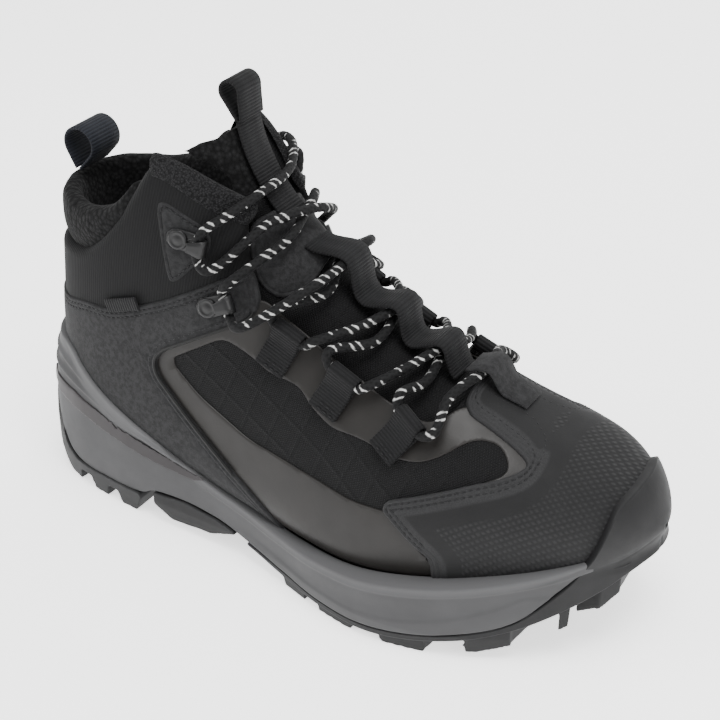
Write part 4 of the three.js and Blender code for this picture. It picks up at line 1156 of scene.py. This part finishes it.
# %% Lines of the sole
SOLE_OUTLINE = [(-4, 0), (-1, -15), (8, -28), (25, -36.5), (48, -41), (75, -43.5), (100, -44), (124, -45.5),
                (148, -51.5), (172, -59), (196, -63), (218, -60.5), (240, -53), (258, -43), (272, -32.5),
                (284, -19), (295, -4), (301, 9), (300, 22), (293, 35), (279, 46), (258, 52), (236, 53),
                (212, 52), (186, 49), (158, 45), (130, 42), (100, 41), (70, 40.5), (42, 38.5), (22, 33),
                (8, 25), (-1, 14)]
WALL_HEIGHTS = [-1, 12, 26, 50, 82]
WALL_LEANS = [3, 0.5, 0, 0, 4.5]
RIM = [(-20, 73), (20, 72), (29, 67), (48, 58), (72, 48.5), (95, 38.5), (118, 31), (150, 27), (188, 29.5),
       (212, 33), (242, 38.5), (267, 44.5), (287, 50), (310, 56)]
SOLE_SPLIT = [(-20, 52), (1, 50), (6, 36), (17, 17), (24, 13), (66, 13), (74, 17), (92, 18.5), (110, 16.5),
              (128, 11.5), (150, 8.4), (175, 6.6), (205, 7.6), (235, 12.6), (258, 20.5), (270, 32), (279, 43)]
PLAN_POINTS = 700
PLAN_SPAN = 12


def smooth_line(points):
    """An open line through drawn points, sorted so that a height can be read from x."""
    line = through([(x, z, 0) for x, z in points], 6)[:, :2]
    return line[np.argsort(line[:, 0])]


def height_on(line, x):
    """The height of a line at x."""
    return np.interp(x, line[:, 0], line[:, 1])


def wall_lean(z):
    """How far the sole's wall stands in from its outline at a height."""
    return -np.interp(z, WALL_HEIGHTS, WALL_LEANS)


def sole_plan():
    """Even points round the sole, with the outward direction at each."""
    closed = [(x, y, 0) for x, y in [SOLE_OUTLINE[-1], *SOLE_OUTLINE, *SOLE_OUTLINE[:2]]]
    loop = through(closed, PLAN_SPAN)[PLAN_SPAN:PLAN_SPAN * (len(SOLE_OUTLINE) + 1) + 1, :2]
    steps = np.r_[0, np.cumsum(np.linalg.norm(np.diff(loop, axis=0), axis=1))]
    at = np.linspace(0, steps[-1], PLAN_POINTS + 1)[:-1]
    plan = np.stack([np.interp(at, steps, loop[:, 0]), np.interp(at, steps, loop[:, 1])], axis=1)
    ahead = np.roll(plan, -1, axis=0) - np.roll(plan, 1, axis=0)
    out = np.stack([-ahead[:, 1], ahead[:, 0]], axis=1)
    out /= np.linalg.norm(out, axis=1)[:, None]
    if ((plan - plan.mean(axis=0)) * out).sum() < 0:
        out = -out
    return plan, out


PLAN, PLAN_OUT = sole_plan()
PLAN_TREE = KDTree(len(PLAN))
for k, (x, y) in enumerate(PLAN):
    PLAN_TREE.insert((x, y, 0), k)
PLAN_TREE.balance()
RIM_LINE = smooth_line(RIM)
SPLIT_LINE = smooth_line(SOLE_SPLIT)
print("sole outline", len(PLAN), "points")

# %% [markdown]
# A lug or a pad has the right shape in the frame already, but its edges are as sharp as cut card. So a copy
# is remeshed in small cubes and smoothed, which rounds every edge as a mould does. The copy's points can
# then be read, moved and written back in millimetres.

# %% Soft copies of frame solids
def read_vectors(items, key):
    """One vector for each item, as rows of an array."""
    flat = np.empty(len(items) * 3, np.float32)
    items.foreach_get(key, flat)
    return flat.reshape(-1, 3).astype(float)


def points_of(obj):
    """The object's points in millimetres."""
    return read_vectors(obj.data.vertices, "co") / MM


def set_points(obj, points):
    """Moves the object's points to places in millimetres."""
    obj.data.vertices.foreach_set("co", (points * MM).astype(np.float32).ravel())
    obj.data.update()


def smoothing(obj, times):
    """Adds a smoothing pass to the object."""
    soften = obj.modifiers.new("soften", "SMOOTH")
    soften.factor = 0.5
    soften.iterations = times


def settle(obj):
    """Makes the object's mesh what its modifiers show."""
    old = obj.data
    skin = bpy.data.meshes.new_from_object(obj.evaluated_get(bpy.context.evaluated_depsgraph_get()))
    obj.modifiers.clear()
    obj.data = skin
    bpy.data.meshes.remove(old)
    return skin


def softened(name, node, voxel, passes, material):
    """One smooth skin over a copy of a frame solid."""
    source = NODES[node]
    part = bmesh.new()
    part.from_mesh(source.data)
    part.transform(source.matrix_world)
    mesh = bpy.data.meshes.new(name)
    part.to_mesh(mesh)
    part.free()
    obj = linked(bpy.data.objects.new(name, mesh))
    remesh = obj.modifiers.new("remesh", "REMESH")
    remesh.mode = "VOXEL"
    remesh.voxel_size = voxel * MM
    smoothing(obj, passes)
    skin = settle(obj)
    shade(skin)
    skin.materials.clear()
    skin.materials.append(material)
    return obj


print("soft copies ready")

# %% [markdown]
# The sole's wall is one smooth face that several pieces share. A soft copy's points that lie near it are
# drawn onto it, and a small pattern of ridges, steps and grooves is pressed in on the way.

# %% Wall patterns
RIDGE_WIDTH = 1.3
RIDGE_HEIGHT = 1.15
RIDGE_END = 104
RIDGE_START = -30


def to_wall(points, carve, reach=1.1):
    """Moves the points that lie on the sole's wall to the smooth wall, with carve's pattern pressed in."""
    x, y, z = points[:, 0] + MIDDLE_X, points[:, 1] + MIDDLE_Y, points[:, 2]
    found = [PLAN_TREE.find((a, b, 0)) for a, b in zip(x, y)]
    k = np.array([f[1] for f in found])
    away = np.stack([x, y], axis=1) - PLAN[k]
    depth = (away * PLAN_OUT[k]).sum(axis=1)
    off = depth - wall_lean(z)
    share = np.clip(1.5 - np.abs(off) / reach, 0, 1)
    shift = share * (carve(x, z) - off)
    drawn = points.copy()
    drawn[:, :2] += PLAN_OUT[k] * shift[:, None]
    return drawn


def flush(lift):
    """An even pattern, proud of the wall by so many millimetres."""
    return lambda x, z: lift + 0 * x


def ridge_on_wall(x, z, line):
    """A rounded ridge along a line, fading at both ends."""
    off = z - height_on(line, x)
    ends = np.clip((x - RIDGE_START) / 10, 0, 1) * np.clip((RIDGE_END - x) / 14, 0, 1)
    return RIDGE_HEIGHT * np.exp(-(off / RIDGE_WIDTH) ** 2) * ends


RIDGES = [smooth_line([(-20, 66), (8, 65.5), (30, 60.5), (52, 52.8), (74, 45.6), (96, 39.5), (112, 34.6)]),
          smooth_line([(-20, 59), (8, 58.5), (30, 55.5), (52, 49.5), (74, 43.9), (96, 39.2), (112, 34)])]
LOWER_STEP = smooth_line([(130, 16), (152, 13.5), (175, 12.5), (200, 13.5), (225, 18), (250, 27), (262, 34)])


def midsole_carving(x, z):
    """A lip below the rim, a step above the tread, two ridges at the heel and a shallow waist."""
    rim = height_on(RIM_LINE, x)
    lip = 0.6 / (1 + np.exp(-(z - rim + 4.2) / 0.35)) * np.clip((x - 70) / 40, 0.35, 1)
    low = 0.5 / (1 + np.exp((z - height_on(LOWER_STEP, x)) / 0.4)) * np.clip((x - 128) / 20, 0, 1)
    ridges = sum(ridge_on_wall(x, z, line) for line in RIDGES)
    waist = -0.5 * np.exp(-((z - rim + 12) / 5) ** 2) * np.clip((x - 100) / 40, 0, 1)
    return lip + low + ridges + waist + 0.2


def rubber_carving(x, z):
    """A recessed window in the side of the heel rubber."""
    across = np.clip(1.6 - np.abs((x + z * 0.36 - 20.3) / 2.6), 0, 1)
    window = across * np.clip(1.6 - np.abs(z - 33) / 7.5, 0, 1)
    return 0.9 - 1.3 * np.clip(window * 1.6, 0, 1) * (x < 24)


def tip_carving(x, z):
    """Three slanting grooves across the tip of the toe."""
    lean = z - 0.55 * (x - 285)
    grooves = sum(0.9 * np.exp(-((lean - at) / 0.9) ** 2) for at in (44, 50, 56))
    return 0.5 - grooves * np.clip((x - 289) / 4, 0, 1)


print("ridges", len(RIDGES))

# %% [markdown]
# The foam and the toe rubber are one long wall each, swept round the outline from a lower line to an upper
# one. A ray shot at the last finds the upper's face at every height, and the wall never goes behind it. At
# the rim the wall turns in over the leather and tucks behind it, as a bonded cup sole does.

# %% Wall maker
WRAP = 2.7  # the upper's face is this far off the last
WALL_ROWS = np.linspace(0, 1, 60)
RAY_REACH = 30
NO_UPPER = -20.0
TUCK = 1.5
FLOOR_REACH = 16.0
HIGHLIGHT_ROWS = 12
s, a = (v.ravel() for v in np.meshgrid(np.linspace(0, LAST_ROW, 230), np.linspace(-math.pi, math.pi, 181),
                                       indexing="ij"))
UPPER = BVHTree.FromPolygons(off_last(s, a, WRAP).tolist(), grid_faces(230, 181).tolist())


def upper_from(spot, out):
    """How far the upper's face lies from a place on the sole's wall, measured outward."""
    hit = UPPER.ray_cast(Vector(spot) + Vector(out) * RAY_REACH, -Vector(out))
    return RAY_REACH - hit[3] if hit[3] is not None and hit[3] < 2 * RAY_REACH else NO_UPPER


def wall_column(place_xy, out_xy, z0, z1, carve, over, turn):
    """One upright section of a wall: how far out each point is, and its height."""
    (x, y), out = place_xy, (*out_xy, 0)
    skin = []
    for share in WALL_ROWS:
        z = z0 + 0.9 + (z1 - z0 - 1.5) * share
        face = upper_from((x - MIDDLE_X, y - MIDDLE_Y, z), out) + over
        off = max(float(wall_lean(z) + carve(x, z)), face)
        if turn and z > turn[0]:
            up = min((z - turn[0]) / (turn[1] - turn[0]), 1)
            off += (face - off) * up ** 2 * (3 - 2 * up)
        skin.append((off, z))
    foot, lip = skin[0][0], skin[-1][0]
    inner = min(upper_from((x - MIDDLE_X, y - MIDDLE_Y, z1), out) - TUCK, lip - 2)
    under = [(-FLOOR_REACH, z0 + 0.6), (-FLOOR_REACH * 0.4, z0 + 0.2), (foot - 1.4, z0),
             (foot - 0.3, z0 + 0.3)]
    over_rim = [(lip - 0.25, z1 - 0.15), (lip - 0.9, z1 + 0.1), ((lip + inner) / 2, z1 + 0.1), (inner, z1)]
    return under + skin + over_rim


def walled(name, low, high, carve, material, over=1.2, start=-FAR, end=FAR, turn=None):
    """A moulded wall that follows the sole's outline between two lines and never sinks into the upper."""
    keep = (PLAN[:, 0] > start) & (PLAN[:, 0] < end)
    first = int(np.argmax(~keep & np.roll(keep, -1))) + 1 if not keep.all() else 0
    order = [(first + k) % len(PLAN) for k in range(int(keep.sum()))]
    closed = keep.all()
    grid = []
    for k in order:
        (x, y), (ox, oy) = PLAN[k], PLAN_OUT[k]
        column = wall_column(PLAN[k], PLAN_OUT[k], float(height_on(low, x)), float(height_on(high, x)),
                             carve, over, turn)
        grid.append([(x - MIDDLE_X + ox * off, y - MIDDLE_Y + oy * off, z) for off, z in column])
    n, m = len(grid), len(grid[0])
    faces = grid_faces(n + 1 if closed else n, m) % (n * m)
    obj = link(name, np.array(grid).reshape(-1, 3), faces[:, ::-1], material)
    # the top rows fade to a small edge value, where a finish with a rim paints its highlight
    edge = [PLAIN] * (m - HIGHLIGHT_ROWS - 4) + list(np.linspace(PLAIN, 0, HIGHLIGHT_ROWS)) + [0] * 4
    keep_values(obj, "edge", np.tile(edge, n))
    return obj


# %% Midsole, strips, pads and heel rubber
midsole = walled("midsole_foam", SPLIT_LINE, RIM_LINE, midsole_carving, foam_grey, end=283.5)
place(midsole, "foam", "midsole")


def moulded(name, node, voxel, carve, material, slot, reach=1.1):
    """A soft copy of a frame solid, drawn onto the sole's wall."""
    obj = softened(name, node, voxel, 2, material)
    set_points(obj, to_wall(points_of(obj), carve, reach))
    return place(obj, slot, node)


for side in SIDE_SIGN:
    moulded("heel_inset_%s_strip" % side, "heel_inset_" + side, 0.6, flush(0.85), inset_dark, "inset", 0.9)
    moulded("outsole_pad_%s_lug" % side, "outsole_pad_" + side, 0.8, flush(0.6), rubber, "rubber")
heel_rubber = moulded("outsole_heel_rubber", "outsole_heel", 0.8, rubber_carving, rubber, "rubber")
print("heel rubber", len(heel_rubber.data.vertices), "points")

# %% Toe rubber
TOE_WALL_LOW = smooth_line([(120, 11), (128, 9.4), (150, 4.8), (175, 3), (205, 3.6), (235, 8.6), (258, 16),
                            (272, 23.5), (286, 32), (297, 41), (310, 46)])
TOE_WALL_HIGH = smooth_line([(120, 13), (128, 11.3), (150, 8.1), (175, 6.3), (205, 7.3), (235, 12.3),
                             (258, 20.2), (270, 31.5), (278.5, 42.5), (281.5, 50), (283.5, 58), (286, 66),
                             (290, 72), (310, 75)])
RAND_FROM = 44  # above this the frame's own rand is drawn in behind the band
RAND_BLEND = 4
RAND_BACK = 3.6
RAND_IN = 2.4
toe_band = walled("outsole_forefoot_band", TOE_WALL_LOW, TOE_WALL_HIGH, tip_carving, rubber, over=3.0,
                  start=128, turn=(40, 56))
place(toe_band, "rubber")
toe_rubber = softened("outsole_forefoot_rubber", "outsole_forefoot", 0.9, 3, rubber)
spots = points_of(toe_rubber)
low = spots[:, 2] < RAND_FROM
spots[low] = to_wall(spots[low], flush(0.2))
high = spots[:, 2] > RAND_FROM
drawn_in = np.minimum((spots[high, 2] - RAND_FROM) / RAND_BLEND, 1)
spots[high, 0] -= RAND_BACK * drawn_in
spots[high, 1] -= RAND_IN * np.sign(spots[high, 1]) * drawn_in
set_points(toe_rubber, spots)
place(toe_rubber, "rubber", "outsole_forefoot")
print("toe rubber", len(toe_rubber.data.vertices), "points")

# %% [markdown]
# The collar and the tongue are foam under cloth. Each starts as a copy of the frame's plain shape, is
# remeshed fine enough to swell, and is blown up a little as cloth under pressure. How far a point may move
# is capped, so the pads keep clear of the lace and of the wearer's foot.

# %% Soft pads
SIM_FRAMES = 16
SIM_VOXEL = 2.8
PRESSURE = 4.0
COLLAR_CAP = 2.0
TONGUE_CAP = 1.4
KNIT_FROM = 166


def normals_of(obj):
    """The outward direction at each of the object's points."""
    return read_vectors(obj.data.vertex_normals, "vector")


def puffed(name, node, cap, shrink, material, passes):
    """A soft pad blown up as cloth from a frame solid; no point moves further than cap millimetres."""
    obj = softened(name, node, SIM_VOXEL, 6, material)
    start = points_of(obj) - normals_of(obj) * shrink
    set_points(obj, start)
    cloth = obj.modifiers.new("cloth", "CLOTH")
    settings = cloth.settings
    settings.quality = 5
    settings.mass = 0.3
    settings.tension_stiffness = settings.compression_stiffness = 12
    settings.use_pressure = True
    settings.uniform_pressure_force = PRESSURE
    settings.effector_weights.gravity = 0
    cloth.point_cache.frame_start, cloth.point_cache.frame_end = 1, SIM_FRAMES
    for step in range(1, SIM_FRAMES + 1):
        bpy.context.scene.frame_set(step)
    swollen = obj.evaluated_get(bpy.context.evaluated_depsgraph_get()).to_mesh()
    move = read_vectors(swollen.vertices, "co") / MM - start
    obj.modifiers.clear()
    bpy.context.scene.frame_set(1)
    move -= move.mean(axis=0)
    size = np.linalg.norm(move, axis=1)[:, None]
    set_points(obj, start + move * np.minimum(1, cap / np.maximum(size, 1e-6)))
    print(name, "moved up to", round(float(size.max()), 1), "mm, kept to", cap)
    smoothing(obj, passes)
    finer = obj.modifiers.new("finer", "SUBSURF")
    finer.levels = finer.render_levels = 1
    settle(obj)
    return obj


collar = puffed("collar_pad", "collar_padding", COLLAR_CAP, 1.0, knit, 12)
place(collar, "knit", "collar_padding")

tongue_pad = puffed("tongue_pad", "tongue", TONGUE_CAP, 0.5, mesh_cloth, 26)
tongue_pad.data.materials.append(knit)
spots = points_of(tongue_pad)
for poly in tongue_pad.data.polygons:
    if spots[poly.vertices[0], 2] > KNIT_FROM:
        poly.material_index = 1
place(tongue_pad, "mesh", "tongue")

# %% Tongue panel
TONGUE_PANEL = rounded([(114, 158), (117, 144), (122, 134), (131, 129), (140, 132), (144, 139), (143, 146),
                        (132, 170)], 4)
tongue_panel = stitched_panel("tongue_panel_skin", TONGUE_PANEL, "both", (-3.5, -2.2), 0.8, PATCH_ROWS,
                              nubuck_patch)
place(tongue_panel, "nubuck", "tongue_panel")
print("tongue panel", len(tongue_panel.data.vertices), "points")

# %% [markdown]
# The inside is finished too: the lining and the footbed show through the mouth of the boot. The stiff parts
# between the layers keep their frame shapes with their own finishes.

# %% Inside pieces
for name, node in (("lining_sleeve", "lining"), ("footbed_pad", "footbed")):
    place(softened(name, node, 1.2, 4, lining_knit), "lining", node)
STIFFENERS = {"heel_counter": (board, "board"), "toe_puff": (board, "board"),
              "lasting_board": (board, "board"), "shank": (steel, "steel")}
for node, (finish, slot) in STIFFENERS.items():
    NODES[node].data.materials.clear()
    NODES[node].data.materials.append(finish)
print("stiffeners", len(STIFFENERS))

# %% [markdown]
# Last on the upper come the threads and trims: rows of stitches that follow the cut edges, a raised piping
# along the front of the heel panel, and a soft binding down the front edge of the ankle cloth.

# %% Stitches and piping
STITCH = 1.9
STITCH_GAP = 1.1
THREAD_RADIUS = 0.36
THREAD_SIDES = 6
THREAD_ENDS = (0.45, 1, 0.45)
THREAD_LIFT = 2.2


def inward(points, distance):
    """The line drawn again at a distance to its left, as a stitched row follows a cut edge."""
    line, _ = evenly(np.array([(x, 0, z) for x, z in points], float), 0.5)
    ahead = np.gradient(line, axis=0)
    ahead /= np.linalg.norm(ahead, axis=1)[:, None]
    left = np.stack([-ahead[:, 2], 0 * ahead[:, 0], ahead[:, 0]], axis=1)
    row = line + left * distance
    keep = np.r_[True, np.linalg.norm(np.diff(row, axis=0), axis=1) > 0.12]
    return [(x, z) for x, _, z in row[keep]]


def on_rows(rows, sign, lift):
    """Rows drawn in the side view, as lines on the boot's side."""
    lines = [np.array([on_side(q, sign, lift)[0] for q in row]) for row in rows]
    return [line[np.isfinite(line).all(axis=1)] for line in lines]


def thread_rows(name, lines, slot="nubuck"):
    """Short threads laid end to end along lines in millimetres."""
    verts, faces = [], []
    for line in lines:
        line, along = evenly(line, 0.6)
        pitch = STITCH + STITCH_GAP
        for k in range(int(along[-1] / pitch)):
            cut = [np.array([np.interp(k * pitch + share * STITCH, along, line[:, c]) for c in range(3)])
                   for share in (0, 0.5, 1)]
            u, v, _ = frames_along(np.array(cut))
            base = len(verts)
            for j, (spot, size) in enumerate(zip(cut, THREAD_ENDS)):
                for a in np.arange(THREAD_SIDES) * 2 * math.pi / THREAD_SIDES:
                    verts.append(spot + (u[j] * math.cos(a) + v[j] * math.sin(a)) * THREAD_RADIUS * size)
            faces += [[base + i for i in face] for face in tube_faces(len(cut), THREAD_SIDES)]
    return place(link(name, verts, faces, thread), slot)


def turned_left(points, inside):
    """The line in the direction that has the inside point on its left."""
    p = np.array(points, float)
    k = len(p) // 2
    ahead = p[min(k + 1, len(p) - 1)] - p[k - 1]
    away = np.array(inside) - p[k]
    return points if ahead[0] * away[1] - ahead[1] * away[0] > 0 else points[::-1]


top_edge = rounded(QUARTER_TOP + [(119, 150), (-20, 150)], 4)
top_edge = turned_left([(x, z) for x, z in top_edge if -2 < x < 117 and z < 142][::-1], (55, 80))
front_edge = rounded([(130, 127), *QUARTER_FRONT[:-2]], 4)
front_edge = turned_left([(x, z) for x, z in front_edge if z > 29 and x < 124], (50, 80))
toe_edge = turned_left([(x, z) for x, z in TOE_LINE if 48 < z < 103 and x < 262], (265, 65))
patch_edge = turned_left(PATCH_LINE, (90, 150))
for side, sign in SIDE_SIGN.items():
    rows = [inward(top_edge, d) for d in STITCH_ROWS] + [inward(front_edge, 3.4)]
    thread_rows("quarter_stitches_" + side, on_rows(rows, sign, THREAD_LIFT))
    thread_rows("toe_stitches_" + side, on_rows([inward(toe_edge, d) for d in TOE_ROWS], sign, THREAD_LIFT))
    thread_rows("patch_stitches_" + side, on_rows([inward(patch_edge, d) for d in PATCH_ROWS], sign, 1.95))
    boxes = []
    for k in range(len(LOOPS)):
        base, along, across, out = LOOP_SEATS[side, k]
        boxes += [np.array([base + along * a + across * b + out * 2.45 for b in np.linspace(-5.4, 5.4, 12)])
                  for a in (-4.2, -1.8)]
    thread_rows("loop_stitches_" + side, boxes, "webbing")
    line = [on_side(q, sign, 2.0)[0] for q in inward(front_edge, 0.8)]
    line, along = evenly(np.array([q for q in line if np.isfinite(q).all()]), 0.8)
    piping = tube("quarter_piping_" + side, line, 0.85, 10, piping_edge)
    place(piping, "nubuck")


# %% Collar binding
BINDING = rounded([(72, 184.5), (78, 184.5), (89, 180), (100, 173.5), (109, 168), (115.5, 163),
                   (113.5, 155.5), (105, 158), (96, 163.5), (86, 169.5), (78, 173.5), (73, 174)], 4)
BINDING_ROUND = 2.4
for side in SIDE_SIGN:
    band = panel("collar_binding_" + side, BINDING, side, folded(-1.6, 2.3, BINDING_ROUND), binding,
                 (0.3, 0.9, 1.6, BINDING_ROUND))
    place(band, "knit")
print("threads and trims done")
